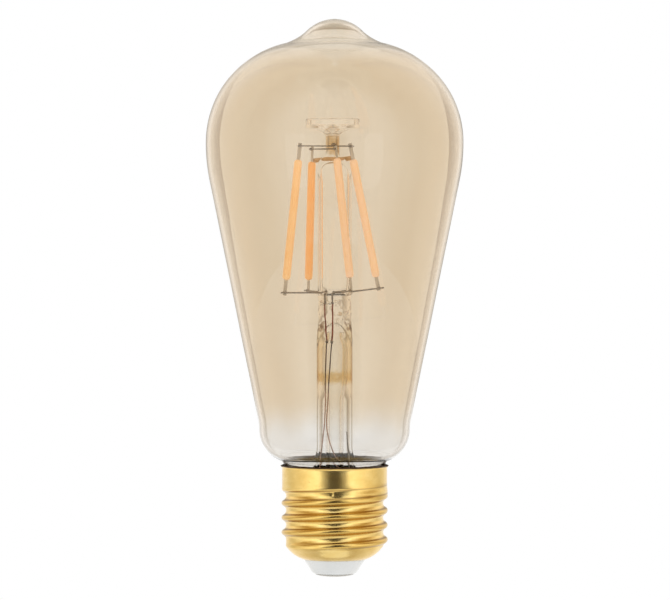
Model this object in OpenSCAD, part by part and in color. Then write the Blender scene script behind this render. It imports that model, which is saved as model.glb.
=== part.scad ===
// Smart LED filament lamp: amber pear-shaped glass on an Edison screw cap,
// with four LED filaments on a glass mount and a radio driver in the cap.
// The lamp axis is Z. The face of the centre contact lies at z = 0.

/* [Glass envelope] */
// Overall height from the contact face to the tip of the glass
overall_h = 138.4; // [132:0.2:170]
// Largest diameter of the glass
bulb_d = 64; // [60:0.5:80]
// Height of the widest ring of the glass
widest_z = 107.8; // [100:0.2:130]
// Wall thickness of the envelope
glass_wall = 0.9; // [0.7:0.1:1.2]
// Radius of the arc from the widest ring to the taper
hip_r = 46.8; // [30:0.2:60]
// Radius of the dome's arc
dome_r = 25.3; // [22:0.1:28]
// Radius of the rounded tip
tip_r = 9.8; // [8:0.1:11]
// Radius of the hollow fillet round the tip
tip_fillet_r = 13; // [10:0.5:16]
// Radius of the foot, where the taper ends
foot_r = 18.76; // [18:0.02:20]
// Height of the foot
foot_z = 36.83; // [35:0.01:39]
// Radius of the shoulder under the foot
shoulder_r = 8.4; // [8:0.1:9]
// Turn of the shoulder before it runs into the neck, in degrees
shoulder_turn = 66; // [62:1:70]
// Outer diameter of the glass neck inside the cap
neck_d = 24.6; // [24.2:0.1:24.8]
// Height of the lower edge of the neck
neck_z = 22.6; // [22.4:0.1:23.4]

/* [Screw cap] */
// Crest diameter of the thread
thread_d = 26.4; // [26.05:0.05:26.45]
// Axial distance from crest to crest
thread_pitch = 3.629; // [3.6:0.001:3.7]
// Radial depth of the thread
thread_depth = 1.12; // [1:0.01:1.15]
// Share of the depth's arcs that the crest takes
crest_share = 0.38; // [0.34:0.01:0.46]
// Height of the crest line where it crosses the +X side
crest_z = 20.09; // [19.8:0.01:20.3]
// Outer diameter of the plain skirt
skirt_d = 26.1; // [25.9:0.05:26.3]
// Height of the cap's upper rim
cap_rim_z = 27.6; // [27:0.1:28]
// Thickness of the sheet metal
shell_wall = 0.3; // [0.25:0.05:0.4]
// Radius of the hole in the shell's lower end
shell_hole_r = 7.7; // [7.4:0.1:8]
// Height of that hole's edge
shell_hole_z = 4.3; // [4:0.1:4.6]
// Radius of the insulator's lower face
insulator_tip_r = 5.6; // [5.2:0.1:6]
// Diameter of the centre contact
contact_d = 9.6; // [9:0.1:10.4]
// Depth of the centre contact's plate
contact_h = 0.6; // [0.5:0.1:0.8]

/* [Glass mount] */
// Outer diameter of the stem tube
stem_d = 8.9; // [8.4:0.1:9.4]
// Wall of the stem and column tubes
tube_wall = 0.9; // [0.8:0.05:1]
// Height where the flare has narrowed to the tube
flare_top_z = 32; // [31:0.5:36]
// Lower end of the press
press_z = 61.3; // [59:0.1:62]
// Height of the press
press_h = 8.6; // [8:0.1:8.8]
// Width of the press across its two flats
press_flat = 8.2; // [7.6:0.1:8.6]
// Outer diameter of the exhaust tube
exhaust_d = 3.8; // [3.2:0.1:4]
// Lower, sealed end of the exhaust tube
exhaust_z = 23.8; // [23.4:0.2:26]
// Outer diameter of the column
column_d = 8.4; // [7.8:0.1:8.6]
// Distance from the upper wires down to where the column starts to close
column_close_drop = 6.5; // [5.9:0.1:8]
// Distance from the upper wires down to where the closed column meets its head
head_drop = 2.7; // [2:0.1:3.2]
// Sideways set of the head
head_x = -0.5; // [-0.8:0.1:0.6]
// Diameter of the head's neck
head_neck_d = 3.4; // [3.2:0.1:4]
// Diameter of the head's lip
head_lip_d = 13.4; // [12:0.2:15]
// Height of the head over the column
head_h = 9.5; // [9:0.1:11]

/* [LED filaments] */
// Length of the coated part of one filament
filament_l = 29.8; // [28:0.2:32]
// Diameter of the coated part
filament_d = 2.0; // [1.8:0.1:2.2]
// Distance from the cage centre to each filament's lower end
cage_lower_r = 12.2; // [11.8:0.1:13.5]
// Distance from the cage centre to each filament's upper end
cage_upper_r = 7.4; // [7.1:0.1:8]
// Sideways set of the cage centre at the lower ends
cage_lower_x = -1; // [-1.2:0.1:0.6]
// Sideways set of the cage centre at the upper ends
cage_upper_x = -2.3; // [-2.4:0.1:0.6]
// Turn of the cage about the lamp axis, in degrees
cage_turn = 25; // [20:1:30]
// Height of the lower ends of the coated parts
filament_z = 74; // [73.6:0.1:75]
// Width of the ceramic strip inside the coating
strip_w = 0.8; // [0.7:0.05:0.9]
// Thickness of the strip
strip_t = 0.4; // [0.3:0.05:0.5]
// Number of LED chips on one strip
chips_per_strip = 24; // [18:1:26]
// Width of an end tab
tab_w = 0.9; // [0.8:0.05:1]
// Thickness of an end tab
tab_t = 0.25; // [0.2:0.05:0.3]
// Diameter of the support and lead wires
wire_d = 0.6; // [0.5:0.05:0.65]
// Height of the lower support wires at the press
arm_z = 70.6; // [70:0.1:71]
// Height of the upper support wires over the filaments' tops
top_wire_rise = 3.49; // [3:0.01:4]

/* [Driver] */
// Width of the circuit board
board_w = 19; // [17:0.5:20]
// Thickness of the circuit board
board_t = 1.0; // [0.8:0.1:1.2]
// Lower edge of the circuit board
board_z = 7.7; // [7.4:0.1:8]
// Height of the circuit board's wide part
board_h = 12; // [11:0.25:12.5]
// Diameter of the bulk capacitor
capacitor_d = 6.3; // [5:0.1:6.5]
// Length of the bulk capacitor
capacitor_l = 9; // [8:0.5:10]
// Diameter of the inductor's flanges
inductor_d = 6; // [5:0.2:6.2]
// Height of the inductor
inductor_l = 6.5; // [5:0.5:7.5]
// Height of the antenna wire's tip, over the metal cap
antenna_z = 36; // [32:0.5:40]

/* [Hidden] */
$fn = 48;
clear = 0.05;          // running gap between pieces that are put together loose
wire_fit = 0.03;       // gap round a wire in its glass

bulb_r = bulb_d / 2;
neck_r = neck_d / 2;
neck_bore_r = neck_r - glass_wall;
skirt_r = skirt_d / 2;
crest_r = thread_d / 2;
root_r = crest_r - thread_depth;
stem_r = stem_d / 2;
stem_bore_r = stem_r - tube_wall;
column_r = column_d / 2;
column_bore_r = column_r - tube_wall;
head_neck_r = head_neck_d / 2;
press_top = press_z + press_h;
cage_top_z = filament_z + sqrt(filament_l * filament_l - pow(cage_lower_r - cage_upper_r, 2));
top_wire_z = cage_top_z + top_wire_rise;
column_close_z = top_wire_z - column_close_drop;
head_z = top_wire_z - head_drop;
fine_d = 0.5;          // copper leads and antenna
fine_r = fine_d / 2;

// ---------- Plain geometry ----------

// Points of an arc in a plane, from angle a to angle b
function arc(c, r, a, b, n = 12) =
    [for (i = [0:n]) let (t = a + (b - a) * i / n) c + r * [cos(t), sin(t)]];

// Smooth step from 0 at a to 1 at b
function ease(x, a, b) =
    let (t = max(0, min(1, (x - a) / (b - a)))) t * t * (3 - 2 * t);

function unit(v) = v / norm(v);

function reversed(list) = [for (i = [len(list) - 1:-1:0]) list[i]];

// Direction in the XY plane
function heading(a) = [cos(a), sin(a), 0];

// The route through the points, with each bend rounded over the length cut
function rounded(points, cut) =
    let (last = len(points) - 1)
    [for (i = [0:last])
        let (p = points[i])
        each (i == 0 || i == last ? [p] :
            let (v = points[i - 1] - p, w = points[i + 1] - p,
                 reach = min(cut, 0.45 * norm(v), 0.45 * norm(w)),
                 a = p + reach * unit(v), b = p + reach * unit(w))
            [for (t = [0:1 / 3:1]) (1 - t) * (1 - t) * a + 2 * t * (1 - t) * p + t * t * b])];

function direction_at(points, i) =
    let (last = len(points) - 1,
         v = i > 0 ? unit(points[i] - points[i - 1]) : [0, 0, 0],
         w = i < last ? unit(points[i + 1] - points[i]) : [0, 0, 0])
    unit(v + w);

// Each ring's zero side, carried from ring to ring without twist
function ring_sides(along, side, i = 0) =
    i == len(along) ? [] :
        let (n = unit(side - (side * along[i]) * along[i]))
        concat([n], ring_sides(along, n, i + 1));

// Two triangles for each side between two rings; turned says which way they face
function band(first, second, n, turned) =
    [for (k = [0:n - 1])
        let (a = first + k, b = first + (k + 1) % n, c = second + k, d = second + (k + 1) % n)
        each (turned ? [[a, b, c], [b, d, c]] : [[a, c, b], [b, c, d]])];

// A round wire along the points, with rounded bends
module wire(points, d, cut = 0.8) {
    n = 8;
    route = rounded(points, cut);
    last = len(route) - 1;
    along = [for (i = [0:last]) direction_at(route, i)];
    side = ring_sides(along, [0.36, 0.8, 0.48]);
    rings = [for (i = [0:last]) let (u = side[i], v = cross(along[i], u))
        each [for (k = [0:n - 1]) route[i] + d / 2 * (cos(360 * k / n) * u + sin(360 * k / n) * v)]];
    sides = [for (i = [0:last - 1]) each band(i * n, (i + 1) * n, n, false)];
    polyhedron(rings, concat(
        [[for (k = [0:n - 1]) k]], sides, [[for (k = [n - 1:-1:0]) last * n + k]]));
}

// The passage that a straight wire leaves in glass
module passage(a, b, d) {
    v = b - a;
    translate(a)
        rotate([0, acos(v.z / norm(v)), atan2(v.y, v.x)])
            cylinder(h = norm(v), d = d + 2 * wire_fit);
}

// ---------- Glass envelope ----------

tip_centre = [0, overall_h - tip_r];
dome_centre = [bulb_r - dome_r, widest_z];
// The fillet's circle touches the tip's circle and the dome's circle from outside.
fillet_centre =
    let (v = tip_centre - dome_centre, d = norm(v), u = v / d,
         to_dome = dome_r + tip_fillet_r, to_tip = tip_r + tip_fillet_r,
         along = (to_dome * to_dome - to_tip * to_tip + d * d) / (2 * d),
         aside = sqrt(to_dome * to_dome - along * along))
    dome_centre + along * u + aside * [u.y, -u.x];
tip_end = let (v = fillet_centre - tip_centre) atan2(v.y, v.x);
dome_start = let (v = fillet_centre - dome_centre) atan2(v.y, v.x);
// The taper runs from the hip's arc down to a small hollow arc over the foot.
foot_hollow_r = 12;     // radius of the small hollow over the foot
crown_turn = 81;        // where the bore's dome turns into its flatter crown, in degrees
hip_centre = [bulb_r - hip_r, widest_z];
foot_hollow_centre = [foot_r + foot_hollow_r, foot_z];
// The taper is the line that touches both arcs, so its angle follows from them.
taper_angle =
    let (v = foot_hollow_centre - hip_centre)
    atan2(-v.y, v.x) - acos((hip_r + foot_hollow_r) / norm(v));
shoulder_centre = [foot_r - shoulder_r, foot_z - 0.2];
shoulder_end = shoulder_centre + shoulder_r * [cos(shoulder_turn), -sin(shoulder_turn)];
neck_fillet_r = (shoulder_end.x - neck_r) / (1 - cos(shoulder_turn));
neck_fillet_centre = [neck_r + neck_fillet_r, shoulder_end.y - neck_fillet_r * sin(shoulder_turn)];

// One side of the wall below the dome, set in by the wall's thickness
function side_points(inset) = concat(
    arc(hip_centre, hip_r - inset, -0.6, -taper_angle, 8),
    arc(foot_hollow_centre, foot_hollow_r + inset, 180 - taper_angle, 180, 5),
    arc(shoulder_centre, shoulder_r - inset, 0, -shoulder_turn, 14),
    arc(neck_fillet_centre, neck_fillet_r + inset, 180 - shoulder_turn, 180, 8),
    [[neck_r - inset, neck_z]]
);

module glass_envelope() {
    outer = concat(
        arc(tip_centre, tip_r, 90, tip_end, 10),
        arc(fillet_centre, tip_fillet_r, tip_end + 180, dome_start + 180, 10),
        arc(dome_centre, dome_r, dome_start, 0, 28),
        side_points(0));
    // Under the tip the bore keeps a plain crown, so the tip itself is nearly solid.
    bore_crown = dome_centre.y + (dome_r - glass_wall) * sin(crown_turn) + 0.25;
    bore = concat(
        [[0, bore_crown]],
        arc(dome_centre, dome_r - glass_wall, crown_turn, 0, 28),
        side_points(glass_wall));
    color("#d9bd8a", 0.35)
        rotate_extrude()
            polygon(concat(outer, reversed(bore)));
}

// ---------- Glass mount ----------

// The flare: a quarter ellipse from the neck's bore up to the stem tube
function flare_side(r_low, r_high, z_low) =
    [for (i = [0:14]) let (t = 90 * i / 14)
        [r_high + (r_low - r_high) * (1 - sin(t)), z_low + (flare_top_z - z_low) * (1 - cos(t))]];

module stem_flare() {
    rim_h = 1.4;
    rim_lap = 0.6;
    bore_rim_r = neck_bore_r - tube_wall;
    color("#e8ece8", 0.3)
        rotate_extrude()
            polygon(concat(
                [[neck_bore_r, neck_z]],
                flare_side(neck_bore_r, stem_r, neck_z + rim_h),
                [[stem_r, press_z], [stem_bore_r, press_z]],
                reversed(flare_side(bore_rim_r, stem_bore_r, neck_z + rim_h - rim_lap)),
                [[bore_rim_r, neck_z]]));
}

module stem_press() {
    seal_h = seal_top_z - press_z;
    lead_h = press_top - seal_top_z;
    color("#e8ece8", 0.3)
        difference() {
            intersection() {
                translate([0, 0, press_z]) cylinder(h = press_h, r = stem_r);
                translate([-press_flat / 2, -stem_r, press_z]) cube([press_flat, stem_d, press_h]);
            }
            for (seat = [lead_left, lead_right]) {
                translate(lifted(seat, press_z - 1)) cylinder(h = seal_h + 1, d = fine_d + 2 * wire_fit);
                translate(lifted(seat, seal_top_z)) cylinder(h = lead_h + 1, d = wire_d + 2 * wire_fit);
            }
        }
}

module exhaust_tube() {
    bore_r = exhaust_d / 2 - 0.6;
    tip_l = 2.4;
    color("#e8ece8", 0.3)
        rotate_extrude()
            polygon([
                [0, exhaust_z], [0.7, exhaust_z + 0.3], [exhaust_d / 2, exhaust_z + tip_l],
                [exhaust_d / 2, press_z], [bore_r, press_z], [bore_r, exhaust_z + tip_l + 0.4],
                [0, exhaust_z + 1.4]
            ]);
}

module column_tube() {
    closed_wall = 1.2;
    rise = head_z - column_close_z;
    outer = [for (i = [0:10]) let (t = 90 * i / 10)
        [head_neck_r + (column_r - head_neck_r) * cos(t), column_close_z + rise * sin(t)]];
    bore = [for (i = [0:10]) let (t = 90 * i / 10)
        [i == 10 ? 0 : column_bore_r * cos(t), column_close_z + (rise - closed_wall) * sin(t)]];
    color("#e8ece8", 0.3)
        difference() {
            rotate_extrude()
                polygon(concat(
                    [[column_bore_r, press_top], [column_r, press_top]], outer,
                    [[0, head_z]], reversed(bore)));
            // The lower wires leave through its wall.
            for (i = [0:3]) passage(hub(i), arm_end(i), wire_d);
        }
}

// The head is a glass stub that opens into a cup.
module column_head() {
    lip_r = head_lip_d / 2;
    lip_h = 2.4;
    neck_h = 4.9;
    cup_floor = 0.9;
    lip_z = head_z + head_h - lip_h;
    cup_z = head_z + neck_h;
    rise = lip_z - cup_z;
    outer = [for (i = [0:8]) let (t = 90 * i / 8)
        [head_neck_r + (lip_r - head_neck_r) * (1 - cos(t)), cup_z + rise * sin(t)]];
    inner = [for (i = [0:8]) let (t = 90 * i / 8)
        [(lip_r - tube_wall) * (1 - cos(t)), cup_z + cup_floor + rise * sin(t)]];
    color("#e8ece8", 0.3)
        difference() {
            translate([head_x, 0, 0])
                rotate_extrude()
                    polygon(concat(
                        [[0, head_z], [head_neck_r, head_z]], outer,
                        [[lip_r, head_z + head_h], [lip_r - tube_wall, head_z + head_h]],
                        reversed(inner)));
            passage(in_head(0, 3, -1), in_head(0, 3, 1), wire_d);
            passage(in_head(1, 2, -1), in_head(1, 2, 1), wire_d);
        }
}

// ---------- LED filaments ----------
// Filament 1 stands front left, 2 back left, 3 front right and 4 back right.

// A hand-made cage: each filament stands a little off its quarter, and higher or lower than the next.
turn_of = [cage_turn + 181.5, cage_turn + 92, cage_turn - 92, cage_turn - 4];
lift_of = [-0.1, -0.4, 0.5, 0.4];
// Rise of each lower support wire from the press to the filament.
arm_rise_of = [0.1, 0.3, 0.7, 1.1];
// The side of each tab on which the wires lie: opposite filaments share one wire.
side_of = [1, 1, -1, -1];

function lower_end(i) = [cage_lower_x, 0, filament_z + lift_of[i]] + cage_lower_r * heading(turn_of[i]);
function upper_foot(i) = [cage_upper_x, 0, 0] + cage_upper_r * heading(turn_of[i]);
function run_of(i) = let (d = upper_foot(i) - lower_end(i)) norm([d.x, d.y]);
function upper_end(i) =
    let (u = upper_foot(i), b = lower_end(i))
    [u.x, u.y, b.z + sqrt(filament_l * filament_l - run_of(i) * run_of(i))];
function along(i) = unit(upper_end(i) - lower_end(i));
function across(i) = unit(cross(along(i), heading(turn_of[i])));
function inward(i) = cross(across(i), along(i));
// The point on a filament's own line at height z
function on_line(i, z) = lower_end(i) + along(i) * (z - lower_end(i).z) / along(i).z;
// The same point moved sideways, to where a wire's axis lies against the tab
function beside(i, z) = on_line(i, z) + side_of[i] * (tab_t + wire_d) / 2 * across(i);

tab_grip = 1.2;      // length of a tab inside the coating
tab_over = 0.7;      // length of a tab past its wire

// Places its children with Z along filament i and the origin at its lower end
module at_filament(i) {
    x = inward(i);
    y = across(i);
    z = along(i);
    o = lower_end(i);
    multmatrix([
        [x.x, y.x, z.x, o.x],
        [x.y, y.y, z.y, o.y],
        [x.z, y.z, z.z, o.z],
        [0, 0, 0, 1]
    ]) children();
}

// Everything that the coating encloses
module strip_shape() {
    translate([-strip_w / 2, tab_t / 2, 0.3]) cube([strip_w, strip_t, filament_l - 0.6]);
}

module chip_shapes() {
    chip = [0.34, 0.15, 0.7];
    reach = filament_l - 2 * tab_grip - 2.2;
    for (k = [0:chips_per_strip - 1])
        translate([-chip.x / 2, tab_t / 2 + strip_t, tab_grip + 0.75 + reach * k / (chips_per_strip - 1)])
            cube(chip);
}

module tab_shapes(i) {
    low = (beside(i, arm_z + arm_rise_of[i]) - lower_end(i)) * along(i) - tab_over;
    high = (beside(i, top_height(i)) - lower_end(i)) * along(i) + tab_over;
    translate([-tab_w / 2, -tab_t / 2, low]) cube([tab_w, tab_t, tab_grip - low]);
    translate([-tab_w / 2, -tab_t / 2, filament_l - tab_grip])
        cube([tab_w, tab_t, high - filament_l + tab_grip]);
}

module filament_coating(i) {
    color("#f2a64a")
        at_filament(i)
            difference() {
                cylinder(h = filament_l, d = filament_d);
                strip_shape();
                chip_shapes();
                tab_shapes(i);
            }
}

module filament_strip(i) {
    color("#f4efe2") at_filament(i) strip_shape();
}

module filament_chips(i) {
    color("#5b74c8") at_filament(i) chip_shapes();
}

module filament_tabs(i) {
    color("#c9c6be") at_filament(i) tab_shapes(i);
}

// ---------- Wires of the mount ----------

// The two upper wires cross in the head, one close under the other.
top_wire_step = wire_d + 2 * clear;
function top_height(i) = (i == 0 || i == 3) ? top_wire_z : top_wire_z - top_wire_step;
top_over = 0.8;      // length of an upper wire past its filament

function past(i, z, over) = beside(i, z) + over * heading(turn_of[i]);

// Ends of the straight stretch, from filament a to b, in which a wire passes the head
function in_head(a, b, end) =
    let (v = past(b, top_height(b), 0) - past(a, top_height(a), 0))
    [head_x, 0, top_height(a)] + end * (head_neck_r + 0.9) * unit([v.x, v.y, 0]);
function top_route(a, b) = let (z = top_height(a)) [
    past(a, z, top_over), past(a, z, -tab_w), in_head(a, b, -1),
    in_head(a, b, 1), past(b, z, -tab_w), past(b, z, top_over)
];

module top_wire_left_right() {
    color("#8c8780") wire(top_route(0, 3), wire_d);
}

module top_wire_front_back() {
    color("#8c8780") wire(top_route(1, 2), wire_d);
}

// A flat ribbon passes behind the column and ties the tops of filaments 2 and 4.
ribbon_h = 1.1;
ribbon_t = 0.25;
ribbon_drop = 2.6;
ribbon_z = top_wire_z - ribbon_drop;

module top_ribbon() {
    a = on_line(1, ribbon_z);
    v = on_line(3, ribbon_z) - a;
    color("#9a8a5c")
        difference() {
            translate(a) rotate([0, 0, atan2(v.y, v.x)])
                translate([0, -ribbon_t / 2, -ribbon_h / 2]) cube([norm(v), ribbon_t, ribbon_h]);
            at_filament(1) tab_shapes(1);
            at_filament(3) tab_shapes(3);
        }
}

// The leads stand in front of the exhaust tube.
// Place of a lead, at a turn and a share of the way from the exhaust tube out to the column's bore
function lead_place(turn, share) =
    let (low = exhaust_d / 2 + fine_r, high = column_bore_r - wire_d / 2)
    (low + share * (high - low)) * [cos(turn), sin(turn)];
lead_left = lead_place(-135, 0.97);
lead_right = lead_place(-100, 0.81);
knot_left = [-1.75, -2.4];
knot_right = [-0.65, -2.75];
knot_z = 58.5;
knot_r = 0.45;
knot_h = 1.0;
seal_top_z = 67.8;
// Where the lower wires turn outwards over the press
hub_r = column_bore_r - wire_d / 2 - 0.6;
arm_over = 1.3;      // length of a lower wire past its filament
lead_bend = 0.45;    // length over which a lead bends outwards

function lifted(p, z) = [p.x, p.y, z];
function arm_end(i) = past(i, arm_z + arm_rise_of[i], arm_over);
function hub(i) =
    let (h = heading(turn_of[i]), e = lifted(beside(i, arm_z + arm_rise_of[i]), 0))
    lifted(e - (e * h - hub_r) * h, arm_z);
// A second wire starts on the side of the wire that it's welded to.
function weld(a, b) = a + 0.9 * wire_d * unit(b - a);

function lead_route(seat, i) =
    [lifted(seat, seal_top_z), lifted(seat, press_top + lead_bend), hub(i), arm_end(i)];
function arm_route(i, j) = [weld(hub(i), hub(j)), hub(j), arm_end(j)];
lead_route_left = lead_route(lead_left, 0);
lead_route_right = lead_route(lead_right, 2);
arm_route_left = arm_route(0, 1);
arm_route_right = arm_route(2, 3);

module lead_wire_left() {
    color("#8c8780") wire(lead_route_left, wire_d, lead_bend);
}

module lead_wire_right() {
    color("#8c8780") wire(lead_route_right, wire_d, lead_bend);
}

module arm_wire_left() {
    color("#8c8780") wire(arm_route_left, wire_d, lead_bend);
}

module arm_wire_right() {
    color("#8c8780") wire(arm_route_right, wire_d, lead_bend);
}

module seal_wires() {
    straight = 0.6;
    color("#a8664c") {
        wire([lifted(knot_left, knot_z + knot_h / 2), lifted(lead_left, press_z - straight),
            lifted(lead_left, seal_top_z)], fine_d);
        wire([lifted(knot_right, knot_z + knot_h / 2), lifted(lead_right, press_z - straight),
            lifted(lead_right, seal_top_z)], fine_d);
    }
}

// Weld knots join the seal wires to the copper leads.
module lead_knots() {
    color("#6e645c")
        for (k = [knot_left, knot_right])
            translate(lifted(k, knot_z))
                rotate_extrude()
                    polygon([[0, -knot_h / 2], [fine_r, -knot_h / 2], [knot_r, -knot_h / 4],
                        [knot_r, knot_h / 4], [fine_r, knot_h / 2], [0, knot_h / 2]]);
}

// Places on the driver's board where wires are soldered, and the height of a blob
pad_z = board_z + board_h + 1.8;
pad_x = 3.4;
neutral_pad = [-8.2, 11];
blob_h = 0.8;
blob_r = 0.7;
blob_y = board_t / 2 + blob_h;
wire_run_y = blob_y + 0.7;

module outer_lead_left() {
    color("#b8765a")
        wire([
            lifted(knot_left, knot_z - knot_h / 2), [-2.3, -1.5, 38], [-3.3, -1, 29],
            [-3.6, -wire_run_y, 25], [-pad_x, -wire_run_y, pad_z + 1.2],
            [-pad_x, -wire_run_y, pad_z], [-pad_x, -blob_y, pad_z]
        ], fine_d);
}

module outer_lead_right() {
    color("#b8765a")
        wire([
            lifted(knot_right, knot_z - knot_h / 2), [-2, -2.5, 38], [-1.5, -2.7, 34.5],
            [0.2, -2.9, 29], [2.4, -2.5, 25], [pad_x, -wire_run_y, pad_z + 1.2],
            [pad_x, -wire_run_y, pad_z], [pad_x, -blob_y, pad_z]
        ], fine_d);
}

// ---------- Screw cap ----------

// Two tangent arcs make the thread's profile: one at the crest, one at the root.
arcs_sum = (thread_pitch * thread_pitch / 4 + thread_depth * thread_depth) / (2 * thread_depth);
crest_arc_r = crest_share * arcs_sum;
root_arc_r = arcs_sum - crest_arc_r;
arcs_meet = crest_arc_r * thread_pitch / 2 / arcs_sum;

// Drop from the crest at distance u along the axis from the crest line
function drop(u) = abs(u) < arcs_meet
    ? crest_arc_r - sqrt(crest_arc_r * crest_arc_r - u * u)
    : thread_depth - root_arc_r
        + sqrt(root_arc_r * root_arc_r - pow(thread_pitch / 2 - abs(u), 2));

// Height of the shell over its root line at angle a. Whole turns lie on the crest line.
function thread_height(a, z) =
    let (turns = (z - crest_z) / thread_pitch - a / 360,
         groove = floor(turns) + a / 360,
         crest = round(turns) + a / 360,
         u = (turns - round(turns)) * thread_pitch,
         run_out = 1 - ease(groove, -0.5, -0.02),
         run_in = ease(crest, -3.55, -3.1))
    run_in * (thread_depth - run_out * drop(u));

// The shell's root line from the rim down, as [r, z, outward r, outward z]
rim_curl = 0.42;
thread_low_z = 7.6;
end_arc_r = 7.9;
skirt_set = crest_r - skirt_r;
end_chord = [shell_hole_r, shell_hole_z] - [root_r, thread_low_z];
end_centre =
    let (m = ([shell_hole_r, shell_hole_z] + [root_r, thread_low_z]) / 2,
         h = sqrt(end_arc_r * end_arc_r - pow(norm(end_chord) / 2, 2)),
         n = unit([end_chord.y, -end_chord.x]))
    m - h * (n.x > 0 ? n : -n);
end_a = let (v = [root_r, thread_low_z] - end_centre) atan2(v.y, v.x);
end_b = let (v = [shell_hole_r, shell_hole_z] - end_centre) atan2(v.y, v.x);
thread_rows = 34;
end_rows = 7;
shell_line = concat(
    [for (k = [0:3]) let (t = k / 3)
        [root_r - skirt_set + rim_curl * (1 - t) * (1 - t), cap_rim_z - 0.8 * t, 1, 0]],
    [for (k = [0:thread_rows]) let (z = 22.8 - (22.8 - thread_low_z) * k / thread_rows)
        [root_r - skirt_set * ease(z, 21, 22.6), z, 1, 0]],
    [for (k = [1:end_rows]) let (t = end_a + (end_b - end_a) * k / end_rows)
        [end_centre.x + end_arc_r * cos(t), end_centre.y + end_arc_r * sin(t), cos(t), sin(t)]]
);

shell_sides = 48;

// A ring of the shell's skin, set in by depth
function shell_ring(row, depth) =
    [for (k = [0:shell_sides - 1]) let (a = 360 * k / shell_sides,
        h = row[1] > thread_low_z - 0.01 ? thread_height(a, row[1]) : end_lift(a, row[1]),
        r = row[0] + h - depth * row[2], z = row[1] - depth * row[3])
        [r * cos(a), r * sin(a), z]];

// Below the thread the last crest fades into the rounded end.
function end_lift(a, z) =
    thread_height(a, thread_low_z) * (1 - ease(thread_low_z - z, 0, 1.6));

module screw_shell() {
    rows = len(shell_line);
    n = shell_sides;
    points = concat(
        [for (row = shell_line) each shell_ring(row, 0)],
        [for (row = shell_line) each shell_ring(row, shell_wall)]);
    inner = rows * n;
    faces = concat(
        [for (k = [0:rows - 2]) each band(k * n, (k + 1) * n, n, true)],
        [for (k = [0:rows - 2]) each band(inner + k * n, inner + (k + 1) * n, n, false)],
        band(0, inner, n, false),
        band((rows - 1) * n, inner + (rows - 1) * n, n, true));
    color("#d8a83c") polyhedron(points, faces, convexity = 6);
}

// Cement fills the gap between the neck and the skirt, and shows as a dark bead at the rim.
module cap_cement() {
    glass_gap = 0.02;
    bore_r = skirt_r - shell_wall - clear;
    bead_z = cap_rim_z + 0.35;
    low_z = neck_z + 0.3;
    fillet_r = neck_fillet_r - glass_gap;
    bead_turn = asin((bead_z - neck_fillet_centre.y) / fillet_r);
    color("#4a3a26")
        rotate_extrude()
            polygon(concat(
                [[neck_r + glass_gap, low_z], [bore_r, low_z], [bore_r, bead_z]],
                arc(neck_fillet_centre, fillet_r, 180 - bead_turn, 180, 4)));
}

flange_r = 10.6;
flange_top_z = 7.9;
insulator_floor = 6.2;
pin_r = 1.1;

module base_insulator() {
    gap = shell_wall + clear;
    throat_r = shell_hole_r - 0.15;
    seat = [2.8, 4.4, 3.4];
    seat_x = 6.2;
    color("#f2f3f2")
        difference() {
            union() {
                rotate_extrude()
                    polygon(concat(
                        [[pin_r + clear, contact_h], [insulator_tip_r - 0.5, contact_h],
                         [insulator_tip_r, contact_h + 0.25], [insulator_tip_r + 0.35, 1.4],
                         [throat_r, shell_hole_z - 0.15], [throat_r, shell_hole_z + 0.3]],
                        flange_points(gap),
                        [[flange_r, flange_top_z], [flange_r - 1.4, flange_top_z],
                         [flange_r - 2, insulator_floor], [pin_r + clear, insulator_floor]]));
                for (s = [-1, 1])
                    translate([s * seat_x - seat.x / 2, -seat.y / 2, insulator_floor - 0.5]) cube(seat);
            }
            translate([-board_w / 2 - clear, -board_t / 2 - clear, board_z - clear])
                cube([board_w + 2 * clear, board_t + 2 * clear, board_h]);
        }
}

// The insulator's flange lies on the inside of the shell's rounded end.
function flange_points(gap) =
    [for (k = [0:6]) let (r = shell_hole_r + (flange_r - shell_hole_r) * k / 6,
        h = end_arc_r - gap, x = r - end_centre.x)
        [r, end_centre.y - sqrt(h * h - x * x)]];

module centre_contact() {
    color("#c9c9c6")
        difference() {
            union() {
                rotate_extrude()
                    polygon([[0, 0], [contact_d / 2 - 0.3, 0], [contact_d / 2, 0.3],
                        [contact_d / 2, contact_h], [0, contact_h]]);
                cylinder(h = insulator_floor, r = pin_r);
            }
            translate([0, 0, -1]) cylinder(h = insulator_floor + 2, r = fine_r + clear);
        }
}

solder_h = 1.2;

module contact_solder() {
    color("#b9bcc0") cylinder(h = solder_h, r = fine_r + clear);
}

// ---------- Driver ----------

board_face_y = board_t / 2;

module driver_board() {
    tongue_w = 10;
    tongue_h = 3.4;
    color("#2f6b45")
        translate([0, -board_t / 2, board_z]) {
            translate([-board_w / 2, 0, 0]) cube([board_w, board_t, board_h]);
            translate([-tongue_w / 2, 0, 0]) cube([tongue_w, board_t, board_h + tongue_h]);
        }
}

module bridge_rectifier() {
    color("#26262a") translate([-8.2, board_face_y, 9.4]) cube([4.7, 2.4, 3.9]);
}

module driver_chip() {
    color("#26262a") translate([-2.4, board_face_y, 9.2]) cube([4.9, 1.5, 3.9]);
}

parts_z = 10.4;
capacitor_at = [-5.1, -board_face_y - capacitor_d / 2 - clear];
inductor_at = [4.7, -board_face_y - inductor_d / 2 - clear];

module bulk_capacitor() {
    rim_w = 0.6;
    rim_h = 0.4;
    color("#20242c")
        translate(lifted(capacitor_at, parts_z))
            difference() {
                cylinder(h = capacitor_l, d = capacitor_d);
                translate([0, 0, capacitor_l - rim_h]) cylinder(h = 1, d = capacitor_d - 2 * rim_w);
            }
}

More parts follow.
